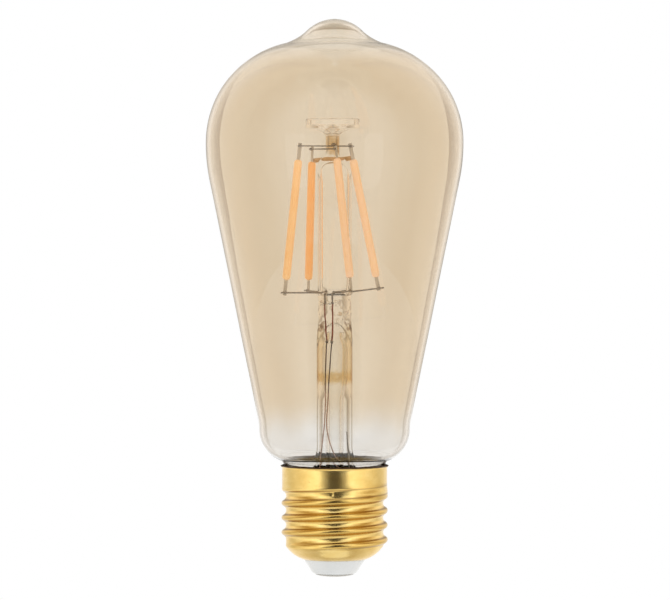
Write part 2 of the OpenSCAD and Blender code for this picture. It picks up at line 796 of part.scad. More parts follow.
module capacitor_legs() {
    leg_h = 0.7;
    leg_spread = 1.25;
    color("#c8c8c8")
        for (s = [-1, 1])
            wire([
                [capacitor_at.x + s * leg_spread, capacitor_at.y, parts_z],
                [capacitor_at.x + s * leg_spread, capacitor_at.y, parts_z - leg_h],
                [capacitor_at.x + s * leg_spread, -board_face_y, parts_z - leg_h]
            ], fine_d);
}

flange_h = 1.1;
core_d = inductor_d * 0.4;

module inductor_core() {
    color("#3a3a3c")
        translate(lifted(inductor_at, parts_z)) {
            cylinder(h = flange_h, d = inductor_d);
            cylinder(h = inductor_l, d = core_d);
            translate([0, 0, inductor_l - flange_h]) cylinder(h = flange_h, d = inductor_d);
        }
}

module inductor_winding() {
    winding_set = 0.45;
    color("#b5652d")
        translate(lifted(inductor_at, parts_z + flange_h))
            difference() {
                cylinder(h = inductor_l - 2 * flange_h, d = inductor_d - 2 * winding_set);
                translate([0, 0, -1]) cylinder(h = inductor_l, d = core_d);
            }
}

fuse_at = [6.9, 3.2];
fuse_d = 2.6;
fuse_l = 6;
fuse_z = 10;
fuse_cap_h = 1.3;
fuse_cap_over = 0.2;

module fuse_resistor() {
    color("#4f7a54")
        translate(lifted(fuse_at, fuse_z)) {
            cylinder(h = fuse_l, d = fuse_d);
            for (z = [-fuse_cap_over, fuse_l + fuse_cap_over - fuse_cap_h])
                translate([0, 0, z]) cylinder(h = fuse_cap_h, d = fuse_d + 0.3);
        }
}

module fuse_lead() {
    top = fuse_z + fuse_l + fuse_cap_over;
    color("#c8c8c8")
        wire([lifted(fuse_at, top), lifted(fuse_at, top + 1), [fuse_at.x, board_face_y, top + 1]], fine_d);
}

module chip_parts() {
    small = [1.6, 0.5, 0.8];
    color("#b08d62")
        for (x = [-1.4, 1.2]) for (z = [11, 13.4, 15.8])
            translate([x - small.x / 2, -board_face_y - small.y, z]) cube(small);
}

radio_at = [-8.5, 13.9];
radio_w = 11;
radio_h = 7.2;
radio_t = 0.8;

module radio_board() {
    color("#1f3f7a")
        translate([radio_at.x, board_face_y, radio_at.y]) cube([radio_w, radio_t, radio_h]);
}

module radio_shield() {
    border = 0.7;
    shield_h = radio_h - 2.2;
    color("#c3c6c9")
        translate([radio_at.x + border, board_face_y + radio_t, radio_at.y + border])
            cube([radio_w - 2 * border, 1.6, shield_h]);
}

// The antenna leaves the metal cap and ends beside the exhaust tube.
module antenna_wire() {
    color("#e6e2d8")
        wire([
            [pad_x, blob_y, pad_z], [pad_x, wire_run_y, pad_z],
            [pad_x, wire_run_y + 0.1, pad_z + 1.5], [2.9, 2.2, 27],
            [2.5, 1.9, 32], [2.4, 1.5, antenna_z]
        ], fine_d);
}

module live_wire() {
    color("#b23a2c")
        wire([
            [0, 0, solder_h], [0, 0, insulator_floor + 0.5], [0, 2.4, insulator_floor + 0.9],
            lifted(fuse_at, fuse_z - 1.6), lifted(fuse_at, fuse_z - fuse_cap_over)
        ], fine_d);
}

module neutral_wire() {
    shell_bore_r = root_r - shell_wall;
    color("#3a5fa0")
        wire([
            [neutral_pad.x, -blob_y, neutral_pad.y], [neutral_pad.x, -wire_run_y, neutral_pad.y],
            [-9.2, -wire_run_y, 9.2], [-10.6, -1.4, 8.6], [-shell_bore_r + 3 * clear, -0.9, 8.6]
        ], fine_d);
}

module board_solder() {
    color("#b9bcc0") {
        for (p = [[-pad_x, pad_z], [pad_x, pad_z], neutral_pad])
            translate([p.x, -board_face_y, p.y]) rotate([90, 0, 0]) cylinder(h = blob_h, r = blob_r);
        translate([pad_x, board_face_y, pad_z]) rotate([-90, 0, 0]) cylinder(h = blob_h, r = blob_r);
    }
}

// A film tube keeps the driver off the live shell.
module driver_sleeve() {
    sleeve_r = root_r - shell_wall - 0.25;
    sleeve_t = 0.2;
    low_z = 9.6;
    color("#e9e4d2", 0.6)
        translate([0, 0, low_z])
            difference() {
                cylinder(h = neck_z - low_z - 0.3, r = sleeve_r);
                translate([0, 0, -1]) cylinder(h = neck_z, r = sleeve_r - sleeve_t);
            }
}

// ---------- Nodes ----------

glass_envelope();
stem_flare();
stem_press();
exhaust_tube();
column_tube();
column_head();
filament_coating(0);  // filament_coating_1
filament_coating(1);  // filament_coating_2
filament_coating(2);  // filament_coating_3
filament_coating(3);  // filament_coating_4
filament_strip(0);  // filament_strip_1
filament_strip(1);  // filament_strip_2
filament_strip(2);  // filament_strip_3
filament_strip(3);  // filament_strip_4
filament_chips(0);  // filament_chips_1
filament_chips(1);  // filament_chips_2
filament_chips(2);  // filament_chips_3
filament_chips(3);  // filament_chips_4
filament_tabs(0);  // filament_tabs_1
filament_tabs(1);  // filament_tabs_2
filament_tabs(2);  // filament_tabs_3
filament_tabs(3);  // filament_tabs_4
top_wire_left_right();
top_wire_front_back();
top_ribbon();
lead_wire_left();
lead_wire_right();
arm_wire_left();
arm_wire_right();
seal_wires();
lead_knots();
outer_lead_left();
outer_lead_right();
screw_shell();
cap_cement();
base_insulator();
centre_contact();
contact_solder();
driver_board();
bridge_rectifier();
driver_chip();
bulk_capacitor();
capacitor_legs();
inductor_core();
inductor_winding();
fuse_resistor();
fuse_lead();
chip_parts();
radio_board();
radio_shield();
antenna_wire();
live_wire();
neutral_wire();
board_solder();
driver_sleeve();
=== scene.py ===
"""Looks of the smart LED filament lamp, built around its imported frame.

Lengths of the lamp are in mm, and those of the studio round it are in metres.
"""

import math
import random

import bmesh
import bpy
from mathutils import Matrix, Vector, noise


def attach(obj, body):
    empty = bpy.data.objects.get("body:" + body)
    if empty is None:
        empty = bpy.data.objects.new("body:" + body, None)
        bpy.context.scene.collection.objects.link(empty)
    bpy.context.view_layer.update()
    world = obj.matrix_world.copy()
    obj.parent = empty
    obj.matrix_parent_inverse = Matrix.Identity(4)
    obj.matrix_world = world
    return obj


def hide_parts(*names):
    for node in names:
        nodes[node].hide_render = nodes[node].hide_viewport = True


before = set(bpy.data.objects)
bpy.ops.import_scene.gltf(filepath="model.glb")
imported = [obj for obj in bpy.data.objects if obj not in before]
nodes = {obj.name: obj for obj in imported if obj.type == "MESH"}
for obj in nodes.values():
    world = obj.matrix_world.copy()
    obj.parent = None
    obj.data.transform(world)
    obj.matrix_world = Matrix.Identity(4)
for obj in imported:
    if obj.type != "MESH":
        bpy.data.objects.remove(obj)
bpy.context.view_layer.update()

MM = 0.001
scene = bpy.context.scene
rng = random.Random(7)


# ---------- Geometry ----------


def heading(turn):
    a = math.radians(turn)
    return Vector((math.cos(a), math.sin(a), 0))


def ease(x, a, b):
    t = max(0.0, min(1.0, (x - a) / (b - a)))
    return t * t * (3 - 2 * t)


def arc(centre, r, a, b, n):
    """(r, z) points of an arc from angle a to angle b, in degrees."""
    turns = [math.radians(a + (b - a) * i / n) for i in range(n + 1)]
    return [(centre[0] + r * math.cos(t), centre[1] + r * math.sin(t)) for t in turns]


def grain(x, y, z, size, seed=0):
    """Smooth noise from -1 to 1 with features of that size."""
    return noise.noise(Vector((x / size + 17.3 * seed, y / size - 9.1 * seed, z / size + 5.7 * seed)))


def spin(bm, profile, sides, place=None, closed=False):
    """Turns (r, z) points about Z. place(r, z, angle) moves a point and returns x, y, z."""
    place = place or (lambda r, z, a: (r * math.cos(a), r * math.sin(a), z))
    rings = []
    for r, z in profile:
        count = 1 if r < 1e-6 else sides
        angles = [2 * math.pi * k / sides for k in range(count)]
        rings.append([bm.verts.new(Vector(place(r, z, a)) * MM) for a in angles])
    pairs = list(zip(rings, rings[1:]))
    if closed:
        pairs.append((rings[-1], rings[0]))
    for low, high in pairs:
        for k in range(sides):
            corners = [low[k % len(low)], low[(k + 1) % len(low)],
                       high[(k + 1) % len(high)], high[k % len(high)]]
            corners = list(dict.fromkeys(corners))
            if len(corners) > 2:
                bm.faces.new(corners)


def wrap(bm, rings):
    """Makes the faces between each ring and the next."""
    for low, high in zip(rings, rings[1:]):
        for k in range(len(low)):
            j = (k + 1) % len(low)
            bm.faces.new((low[k], low[j], high[j], high[k]))


def face_out(bm):
    bmesh.ops.recalc_face_normals(bm, faces=bm.faces)


def add_surface(bm, other):
    """Moves the surface in other into bm."""
    spare = bpy.data.meshes.new("spare")
    other.to_mesh(spare)
    other.free()
    bm.from_mesh(spare)
    bpy.data.meshes.remove(spare)


def add_hollow(bm, hollow):
    """Adds a closed surface to bm as a hollow inside it."""
    face_out(hollow)
    bmesh.ops.reverse_faces(hollow, faces=hollow.faces)
    add_surface(bm, hollow)


def blob(bm, centre, r, seed, squash=(1, 1, 1), rough=0.12, rings=8, sides=12):
    """A lump of melted metal or solder, or a bubble."""
    turns = [math.pi * i / rings for i in range(rings + 1)]
    profile = [(math.sin(t), -math.cos(t)) for t in turns]
    profile[0], profile[-1] = (0, -1), (0, 1)

    def place(pr, pz, a):
        v = Vector((pr * math.cos(a), pr * math.sin(a), pz))
        swell = r * (1 + rough * grain(*v, 0.8, seed))
        return [centre[i] + v[i] * swell * squash[i] for i in range(3)]

    spin(bm, profile, sides, place)


def bend(points, cut, steps=6):
    """The route through the points with each corner rounded."""
    route = [Vector(points[0])]
    for before, here, after in zip(points, points[1:], points[2:]):
        here = Vector(here)
        v, w = Vector(before) - here, Vector(after) - here
        reach = min(cut, 0.45 * v.length, 0.45 * w.length)
        a, b = here + v.normalized() * reach, here + w.normalized() * reach
        for k in range(steps + 1):
            t = k / steps
            route.append((1 - t) ** 2 * a + 2 * t * (1 - t) * here + t * t * b)
    route.append(Vector(points[-1]))
    return route


def fine(route, step):
    """The route with no stretch longer than step."""
    made = [route[0]]
    for a, b in zip(route, route[1:]):
        n = max(1, math.ceil((b - a).length / step))
        made += [a.lerp(b, k / n) for k in range(1, n + 1)]
    return made


def tube(bm, route, r, sides=12, wobble=0.0, seed=0):
    """A round wire along the route, with ends rounded over."""
    n = len(route)
    along = []
    for i in range(n):
        v = route[min(i + 1, n - 1)] - route[max(i - 1, 0)]
        along.append(v.normalized())
    side = Vector((0.36, 0.8, 0.48))
    rings = []

    def ring(at, u, w, radius):
        turns = [2 * math.pi * k / sides for k in range(sides)]
        rings.append([bm.verts.new((at + radius * (math.cos(t) * u + math.sin(t) * w)) * MM)
                      for t in turns])

    for i, point in enumerate(route):
        side = (side - side.dot(along[i]) * along[i]).normalized()
        w = along[i].cross(side)
        radius = r * (1 + wobble * grain(*point, 1.5, seed))
        if i == 0:
            ring(point, side, w, radius * 0.7)
            ring(point + along[0] * r * 0.25, side, w, radius)
        elif i == n - 1:
            ring(point - along[i] * r * 0.25, side, w, radius)
            ring(point, side, w, radius * 0.7)
        else:
            ring(point, side, w, radius)
    wrap(bm, rings)
    bm.faces.new(rings[0])
    bm.faces.new(rings[-1])


def place_object(name, mesh, material):
    obj = bpy.data.objects.new(name, mesh)
    scene.collection.objects.link(obj)
    mesh.materials.append(material)
    return obj


def piece(bm, name, material, replaces, sharp=50, outward=True):
    """Makes the shown piece that stands for those CAD nodes."""
    if outward:
        face_out(bm)
    mesh = bpy.data.meshes.new(name)
    bm.to_mesh(mesh)
    bm.free()
    mesh.shade_smooth()
    if sharp:
        mesh.set_sharp_from_angle(angle=math.radians(sharp))
    obj = place_object(name, mesh, material)
    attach(obj, "root")
    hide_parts(*replaces)
    return obj


# ---------- Materials ----------


class Finish:
    """A node material around one Principled shader, with textures in the row frame."""

    def __init__(self, name, **values):
        self.material = bpy.data.materials.new(name)
        self.material.use_nodes = True
        self.tree = self.material.node_tree
        self.tree.nodes.clear()
        self.bsdf = self.node("ShaderNodeBsdfPrincipled")
        out = self.node("ShaderNodeOutputMaterial")
        self.join(self.bsdf.outputs["BSDF"], out.inputs["Surface"])
        self.where = self.node("ShaderNodeTexCoord").outputs["Object"]
        for socket, value in values.items():
            self.bsdf.inputs[socket.replace("_", " ")].default_value = value

    def node(self, kind, **settings):
        made = self.tree.nodes.new(kind)
        for key, value in settings.items():
            setattr(made, key, value)
        return made

    def join(self, source, target):
        self.tree.links.new(source, target)

    def noise(self, size, detail=3.0, stretch=(1, 1, 1), at=(0, 0, 0), roughness=0.5):
        """Noise with features of that size in mm."""
        mapping = self.node("ShaderNodeMapping")
        mapping.inputs["Location"].default_value = at
        mapping.inputs["Scale"].default_value = [s / (size * MM) for s in stretch]
        self.join(self.where, mapping.inputs["Vector"])
        made = self.node("ShaderNodeTexNoise")
        made.inputs["Scale"].default_value = 1.0
        made.inputs["Detail"].default_value = detail
        made.inputs["Roughness"].default_value = roughness
        self.join(mapping.outputs["Vector"], made.inputs["Vector"])
        return made.outputs["Fac"]

    def mm_along(self, axis):
        """Place along the X, Y or Z axis, in mm."""
        split = self.node("ShaderNodeSeparateXYZ")
        self.join(self.where, split.inputs["Vector"])
        return self.math("DIVIDE", split.outputs[axis], MM)

    def attribute(self, name):
        made = self.node("ShaderNodeAttribute", attribute_name=name)
        return made.outputs["Fac"]

    def math(self, operation, a, b=0.0, clamp=False):
        made = self.node("ShaderNodeMath", operation=operation, use_clamp=clamp)
        for socket, value in zip(made.inputs, (a, b)):
            if isinstance(value, (int, float)):
                socket.default_value = value
            else:
                self.join(value, socket)
        return made.outputs["Value"]

    def spread(self, source, low, high, to_low=0.0, to_high=1.0):
        made = self.node("ShaderNodeMapRange", interpolation_type="SMOOTHSTEP")
        limits = {"From Min": low, "From Max": high, "To Min": to_low, "To Max": to_high}
        for socket, value in limits.items():
            made.inputs[socket].default_value = value
        self.join(source, made.inputs["Value"])
        return made.outputs["Result"]

    def ramp(self, source, *stops):
        made = self.node("ShaderNodeValToRGB")
        band = made.color_ramp
        while len(band.elements) < len(stops):
            band.elements.new(0.5)
        for element, (place, colour) in zip(band.elements, stops):
            element.position = place
            element.color = (*colour, 1)
        self.join(source, made.inputs["Fac"])
        return made.outputs["Color"]

    def mix(self, share, a, b):
        """Colours a and b mixed. A colour is a socket or three numbers."""
        made = self.node("ShaderNodeMix", data_type="RGBA")
        self.join(share, made.inputs["Factor"])
        for socket, value in ((made.inputs[6], a), (made.inputs[7], b)):
            if isinstance(value, tuple):
                socket.default_value = (*value, 1)
            else:
                self.join(value, socket)
        return made.outputs[2]

    def mottle(self, a, b, *pattern):
        """Colours a and b in noise of that pattern."""
        return self.ramp(self.noise(*pattern), (0.3, a), (0.7, b))

    def vary(self, a, b, *pattern):
        """Values from a to b in noise of that pattern."""
        return self.spread(self.noise(*pattern), 0.3, 0.7, a, b)

    def bump(self, source, depth, strength=1.0):
        """Bump of that depth in mm."""
        made = self.node("ShaderNodeBump")
        made.inputs["Strength"].default_value = strength
        made.inputs["Distance"].default_value = depth * MM
        self.join(source, made.inputs["Height"])
        self.join(made.outputs["Normal"], self.bsdf.inputs["Normal"])

    def set(self, socket, source):
        self.join(source, self.bsdf.inputs[socket])
        return self


def plain(name, low, high, rough, size=1.0, depth=0.01, stretch=(1, 1, 1), **values):
    """A finish whose colour and roughness vary between two ends."""
    finish = Finish(name, **values)
    finish.set("Base Color", finish.mottle(low, high, size, 5.0, stretch))
    finish.set("Roughness", finish.vary(*rough, size * 2.3, 2.0, stretch, (3, 1, 2)))
    finish.bump(finish.noise(size * 0.35, 4.0, stretch, (5, 2, 7)), depth)
    return finish.material


AMBER_FADE_Z, TIP_PALE_Z = (33.0, 45.0), (129.5, 131.0)
# Heights in the mount's glass that its stains, darker marks and painted edge tint keep to.
STEM_EDGE_TINT_Z, STAINED_RING_Z = (49.0, 62.5), (48.5, 50.8)
GETTER_STAIN_Z, DARK_SHOULDER_Z = (105.0, 109.2), (63.3, 64.3)
# (height, index of refraction) along the mount's glass.
BENDING = ((44, 1.08), (49, 1.3), (57, 1.3), (59.5, 1.08), (63, 1.08), (66, 1.5), (69.5, 1.5), (73, 1.2),
           (98, 1.2), (100.5, 1.025), (104.6, 1.025), (107, 1.35))
# Heights and strength of the column's painted glow.
PAINTED_GLOW_Z, PAINTED_GLOW_STRENGTH = (60.0, 72.0), 0.016


def amber_glass():
    finish = Finish("amber_glass", IOR=1.5, Transmission_Weight=1.0, Roughness=0.0)
    z = finish.mm_along("Z")
    level = finish.math("ADD", z, finish.vary(-1.2, 1.2, 9, 2.0, (1, 1, 0.5)))
    streak = finish.noise(14, 3.0, (1, 1, 0.35), (2, 2, 2))
    amber = finish.ramp(streak, (0.25, (0.862, 0.788, 0.675)), (0.75, (0.842, 0.752, 0.625)))
    # The tip is paler, and the amber fades to clear over the cap.
    amber = finish.mix(finish.spread(z, *TIP_PALE_Z), amber, (0.875, 0.82, 0.735))
    clear = (0.885, 0.873, 0.85)
    finish.set("Base Color", finish.mix(finish.spread(level, *AMBER_FADE_Z), clear, amber))
    finish.bump(finish.noise(11, 2.0, (1, 1, 0.4), (4, 4, 4)), 0.02)
    return finish.material


def mount_glass():
    finish = Finish("mount_glass", Transmission_Weight=1.0, Roughness=0.0)
    # Colour of the column's painted glow.
    finish.bsdf.inputs["Emission Color"].default_value = (1.0, 0.95, 0.93, 1)
    z, x = finish.mm_along("Z"), finish.mm_along("X")
    ragged = finish.math("ADD", z, finish.vary(-0.9, 0.9, 1.6, 3.0))

    def zone(level, limits, soft):
        low, high = limits
        return finish.math("MULTIPLY", finish.spread(level, low - soft, low + soft),
                           finish.spread(level, high - soft, high + soft, 1.0, 0.0))

    # Painted shade: the stem's left and right edges, as seen from the front, are tinted a little yellow. A
    # ring of yellow stain goes all round at their foot.
    aside = finish.math("ABSOLUTE", finish.math("ADD", x, finish.spread(z, 48.0, 62.0, 0.55, 0.0)))
    sides = finish.math("MULTIPLY", zone(ragged, STEM_EDGE_TINT_Z, 0.8), finish.spread(aside, 1.7, 3.1))
    body = finish.mix(sides, (0.992, 0.992, 0.99), (0.92, 0.85, 0.70))
    body = finish.mix(zone(ragged, STAINED_RING_Z, 0.7), body, (0.90, 0.80, 0.60))
    # Metal from the getter and the welds has stained the neck under the head.
    stain = finish.math("MULTIPLY", zone(ragged, GETTER_STAIN_Z, 0.9), finish.spread(x, -2.4, -1.0))
    body = finish.mix(stain, body, (0.74, 0.55, 0.30))
    # The press's sloping shoulders are darker brown at the left and right.
    across = finish.math("ABSOLUTE", x)
    slope = finish.math("ADD", ragged, finish.math("MULTIPLY", across, 0.5))
    dark_shoulder = finish.math("MULTIPLY", finish.spread(across, 1.9, 2.8), zone(slope, DARK_SHOULDER_Z, 0.35))
    finish.set("Base Color", finish.mix(dark_shoulder, body, (0.30, 0.20, 0.13)))
    # Thin drawn glass bends light less. A ramp holds values up to 1, so it holds half the index.
    full = 120.0
    half = finish.ramp(finish.math("DIVIDE", z, full),
                       *[(level / full, (index / 2,) * 3) for level, index in BENDING])
    finish.set("IOR", finish.math("MULTIPLY", half, 2.0))
    # The column gives off a little light of its own: a painted glow that makes it look milky.
    finish.set("Emission Strength", finish.spread(z, *PAINTED_GLOW_Z, 0.0, PAINTED_GLOW_STRENGTH))
    finish.bump(finish.noise(3.5, 2.0, (1, 1, 0.3)), 0.008)
    return finish.material


def exhaust_clear():
    finish = Finish("exhaust_clear", IOR=1.5, Transmission_Weight=1.0, Roughness=0.0)
    finish.set("Base Color", finish.mottle((0.985, 0.985, 0.98), (0.995, 0.995, 0.992), 5, 2.0,
                                           (1, 1, 0.3)))
    finish.bump(finish.noise(3.0, 2.0, (1, 1, 0.3)), 0.006)
    return finish.material


def phosphor():
    """Phosphor in silicone, with a painted glow of its own that makes it look brightly lit."""
    finish = Finish("phosphor", Coat_Weight=0.15, Coat_Roughness=0.3, Emission_Strength=0.52)
    tone = finish.attribute("tone")
    speck = finish.noise(0.5, 4.0)
    mixed = finish.math("ADD", tone, finish.spread(speck, 0.25, 0.75, -0.09, 0.09), True)
    finish.set("Base Color", finish.ramp(
        mixed, (0.0, (1.0, 0.84, 0.68)), (0.5, (1.0, 0.74, 0.38)), (1.0, (1.0, 0.58, 0.20))))
    # Colour of the coating's painted glow.
    finish.set("Emission Color", finish.ramp(
        mixed, (0.0, (1.0, 0.62, 0.44)), (0.5, (1.0, 0.58, 0.26)), (1.0, (1.0, 0.42, 0.12))))
    finish.set("Roughness", finish.vary(0.42, 0.62, 0.9, 3.0, (1, 1, 1), (1, 2, 3)))
    finish.bump(finish.noise(0.22, 3.0), 0.02)
    return finish.material


def brass():
    """Brass, darker in stains; painted reflection darkens the thread's crests and flanks, and painted shade
    the rim.
    """
    finish = Finish("brass", Metallic=1.0)
    cloud = finish.noise(3.2, 5.0, (1, 1, 1.6))
    base = finish.ramp(cloud, (0.25, (0.84, 0.58, 0.18)), (0.6, (0.92, 0.68, 0.25)),
                       (0.85, (0.96, 0.75, 0.33)))
    stain = finish.spread(finish.noise(1.1, 5.0, (1, 1, 0.5), (6, 1, 4), 0.65), 0.62, 0.78)
    # Painted shade and reflection: the top of the rim is dark brown.
    rim = finish.spread(finish.mm_along("Z"), 27.3, 27.45)
    # The stains are the brass's own; the darker crests and the dark line on each flank are painted
    # reflection.
    for place, share, colour in ((stain, 0.55, (0.55, 0.30, 0.08)),
                                 (finish.attribute("crest"), 0.6, (0.66, 0.42, 0.10)),
                                 (finish.attribute("flank_shade"), 0.75, (0.30, 0.16, 0.045)),
                                 (rim, 1.0, (0.14, 0.075, 0.03))):
        base = finish.mix(finish.math("MULTIPLY", place, share), base, colour)
    finish.set("Base Color", base)
    rubbed = finish.noise(0.5, 4.0, (1, 1, 14), (2, 0, 1))
    finish.set("Roughness", finish.spread(rubbed, 0.25, 0.75, 0.14, 0.27))
    finish.bump(rubbed, 0.004)
    return finish.material


def lead_copper():
    """Copper that darkened where it was heated."""
    finish = Finish("lead_copper", Metallic=0.8)
    level = finish.math("ADD", finish.mm_along("Z"), finish.vary(-2.0, 2.0, 2.0, 3.0))
    pale = finish.mottle((0.60, 0.36, 0.27), (0.74, 0.50, 0.40), 0.6, 3.0)
    dark = finish.mottle((0.07, 0.045, 0.035), (0.16, 0.09, 0.06), 0.7, 3.0, (1, 1, 1), (1, 1, 1))
    finish.set("Base Color", finish.mix(finish.spread(level, 44.0, 50.0), pale, dark))
    finish.set("Roughness", finish.vary(0.32, 0.55, 0.5, 2.0, (1, 1, 1), (2, 2, 2)))
    finish.bump(finish.noise(0.18, 3.0), 0.01)
    return finish.material


GLASS = amber_glass()
MOUNT = mount_glass()
EXHAUST = exhaust_clear()
PHOSPHOR = phosphor()
BRASS = brass()
LEAD = lead_copper()
NICKEL = plain("nickel_wire", (0.26, 0.24, 0.225), (0.54, 0.50, 0.47), (0.25, 0.5), 0.5, 0.008,
               Metallic=0.9)
RIBBON = plain("nickel_ribbon", (0.70, 0.45, 0.20), (0.88, 0.63, 0.34), (0.3, 0.5), 0.8, 0.01,
               (1, 1, 3), Metallic=0.8)
SEALING = plain("sealing_wire", (0.30, 0.07, 0.03), (0.50, 0.16, 0.08), (0.3, 0.5), 0.5, 0.008,
                Metallic=0.6)
CEMENT = plain("cement", (0.016, 0.008, 0.004), (0.10, 0.052, 0.02), (0.6, 0.9), 0.7, 0.06,
               Specular_IOR_Level=0.2)
INSULATOR = plain("insulator", (0.72, 0.735, 0.73), (0.79, 0.80, 0.795), (0.16, 0.26), 4.0, 0.006,
                  Coat_Weight=0.4, Coat_Roughness=0.08)
CONTACT = plain("contact_metal", (0.52, 0.52, 0.51), (0.70, 0.70, 0.68), (0.22, 0.45), 0.8, 0.01,
                (1, 6, 1), Metallic=1.0)
ENAMEL = plain("enamelled_wire", (0.80, 0.76, 0.68), (0.92, 0.89, 0.82), (0.35, 0.5), 0.6, 0.008)
TIN = (0.55, 0.55, 0.56), (0.75, 0.75, 0.76), (0.25, 0.4), 0.3, 0.01
# Finishes of the CAD's own pieces that are shown as they are, by name without its number.
KEPT = {
    "filament_strip": plain(
        "strip_ceramic", (0.80, 0.78, 0.72), (0.90, 0.88, 0.83), (0.5, 0.7), 0.3, 0.006),
    "filament_chips": plain(
        "led_chip", (0.10, 0.16, 0.42), (0.20, 0.30, 0.62), (0.12, 0.3), 0.2, 0.002, Metallic=0.3),
    "filament_tabs": plain(
        "tinned_tab", (0.84, 0.82, 0.77), (0.97, 0.95, 0.91), (0.3, 0.5), 0.5, 0.01, (1, 1, 0.3),
        Metallic=0.2),
    "driver_board": plain(
        "circuit_board", (0.02, 0.13, 0.06), (0.05, 0.22, 0.10), (0.35, 0.5), 1.2, 0.01, (3, 1, 1)),
    "radio_board": plain(
        "radio_board_mask", (0.012, 0.04, 0.16), (0.03, 0.08, 0.26), (0.35, 0.5), 1.2, 0.01, (3, 1, 1)),
    "bridge_rectifier": plain(
        "epoxy_rectifier", (0.016, 0.016, 0.018), (0.04, 0.04, 0.044), (0.5, 0.7), 0.3, 0.02),
    "driver_chip": plain(
        "epoxy_chip", (0.016, 0.016, 0.018), (0.036, 0.036, 0.04), (0.45, 0.65), 0.3, 0.015),
    "bulk_capacitor": plain(
        "capacitor_sleeve", (0.012, 0.016, 0.03), (0.03, 0.036, 0.06), (0.25, 0.4), 2.0, 0.01, (1, 1, 0.2)),
    "capacitor_legs": plain("capacitor_tin", *TIN, Metallic=1.0),
    "inductor_core": plain("ferrite", (0.035, 0.034, 0.036), (0.075, 0.073, 0.078), (0.55, 0.8), 0.3, 0.03),
    "inductor_winding": plain(
        "copper_winding", (0.38, 0.13, 0.05), (0.62, 0.26, 0.10), (0.25, 0.4), 0.25, 0.06,
        (0.05, 0.05, 1), Metallic=0.7),
    "fuse_resistor": plain(
        "resistor_coating", (0.05, 0.15, 0.07), (0.09, 0.24, 0.12), (0.4, 0.6), 0.6, 0.015),
    "fuse_lead": plain("fuse_tin", *TIN, Metallic=1.0),
    "chip_parts": plain("chip_ceramic", (0.36, 0.24, 0.13), (0.50, 0.36, 0.22), (0.4, 0.6), 0.3, 0.01),
    "radio_shield": plain(
        "tin_can", (0.52, 0.53, 0.55), (0.70, 0.71, 0.73), (0.25, 0.42), 1.0, 0.008, (1, 1, 4),
        Metallic=1.0),
    "live_wire": plain("red_wire", (0.38, 0.03, 0.02), (0.52, 0.06, 0.04), (0.35, 0.5), 0.8, 0.01),
    "neutral_wire": plain("blue_wire", (0.04, 0.10, 0.30), (0.07, 0.16, 0.44), (0.35, 0.5), 0.8, 0.01),
    "board_solder": plain(
        "board_tin", (0.50, 0.50, 0.52), (0.68, 0.68, 0.70), (0.2, 0.4), 0.3, 0.02, Metallic=1.0),
    "driver_sleeve": plain(
        "sleeve_film", (0.74, 0.71, 0.60), (0.84, 0.81, 0.72), (0.3, 0.5), 2.0, 0.01, (1, 1, 0.4)),
}


# ---------- Glass envelope ----------

OVERALL_H, WALL = 138.4, 0.9
TIP_C, TIP_R, FILLET_R = (0.0, 128.6), 9.8, 13.0
DOME_C, DOME_R = (6.7, 107.8), 25.3
HIP_C, HIP_R = (-14.8, 107.8), 46.8
FOOT_Z, FOOT_R, FOOT_HOLLOW_R = 36.83, 18.76, 12.0
SHOULDER_R, SHOULDER_TURN = 8.4, 66
NECK_R, NECK_Z = 12.3, 22.6

hollow_c = (FOOT_R + FOOT_HOLLOW_R, FOOT_Z)
reach_foot = Vector(hollow_c) - Vector(HIP_C)
TAPER = math.degrees(math.atan2(-reach_foot.y, reach_foot.x)
                     - math.acos((HIP_R + FOOT_HOLLOW_R) / reach_foot.length))
shoulder_c = (FOOT_R - SHOULDER_R, FOOT_Z - 0.2)
turn = math.radians(SHOULDER_TURN)
shoulder_end = (shoulder_c[0] + SHOULDER_R * math.cos(turn), shoulder_c[1] - SHOULDER_R * math.sin(turn))
neck_fillet_r = (shoulder_end[0] - NECK_R) / (1 - math.cos(turn))
neck_fillet_c = (NECK_R + neck_fillet_r, shoulder_end[1] - neck_fillet_r * math.sin(turn))


def fillet_centre():
    v = Vector(TIP_C) - Vector(DOME_C)
    u = v.normalized()
    to_dome, to_tip = DOME_R + FILLET_R, TIP_R + FILLET_R
    along = (to_dome ** 2 - to_tip ** 2 + v.length ** 2) / (2 * v.length)
    aside = math.sqrt(to_dome ** 2 - along ** 2)
    return Vector(DOME_C) + along * u + aside * Vector((u.y, -u.x))


fillet_c = fillet_centre()
tip_end = math.degrees(math.atan2(fillet_c.y - TIP_C[1], fillet_c.x - TIP_C[0]))
dome_start = math.degrees(math.atan2(fillet_c.y - DOME_C[1], fillet_c.x - DOME_C[0]))


def glass_side(inset):
    return (arc(HIP_C, HIP_R - inset, -0.4, -TAPER, 30)
            + arc(hollow_c, FOOT_HOLLOW_R + inset, 180 - TAPER, 180, 8)
            + arc(shoulder_c, SHOULDER_R - inset, 0, -SHOULDER_TURN, 24)
            + arc(neck_fillet_c, neck_fillet_r + inset, 180 - SHOULDER_TURN, 180, 10)
            + [(NECK_R - inset, NECK_Z)])


def taper_rows(points):
    """Splits the long straight stretch, so that the glass can drift along it."""
    made = [points[0]]
    for a, b in zip(points, points[1:]):
        n = max(1, round(math.dist(a, b) / 4))
        made += [(a[0] + (b[0] - a[0]) * k / n, a[1] + (b[1] - a[1]) * k / n) for k in range(1, n + 1)]
    return made


def glass_profile(inset):
    """(r, z) points from the tip down to the neck's end."""
    return ([(0, OVERALL_H - inset)] + arc(TIP_C, TIP_R - inset, 90, tip_end, 24)[1:]
            + arc(fillet_c, FILLET_R + inset, tip_end + 180, dome_start + 180, 20)
            + arc(DOME_C, DOME_R - inset, dome_start, 0, 60) + glass_side(inset))


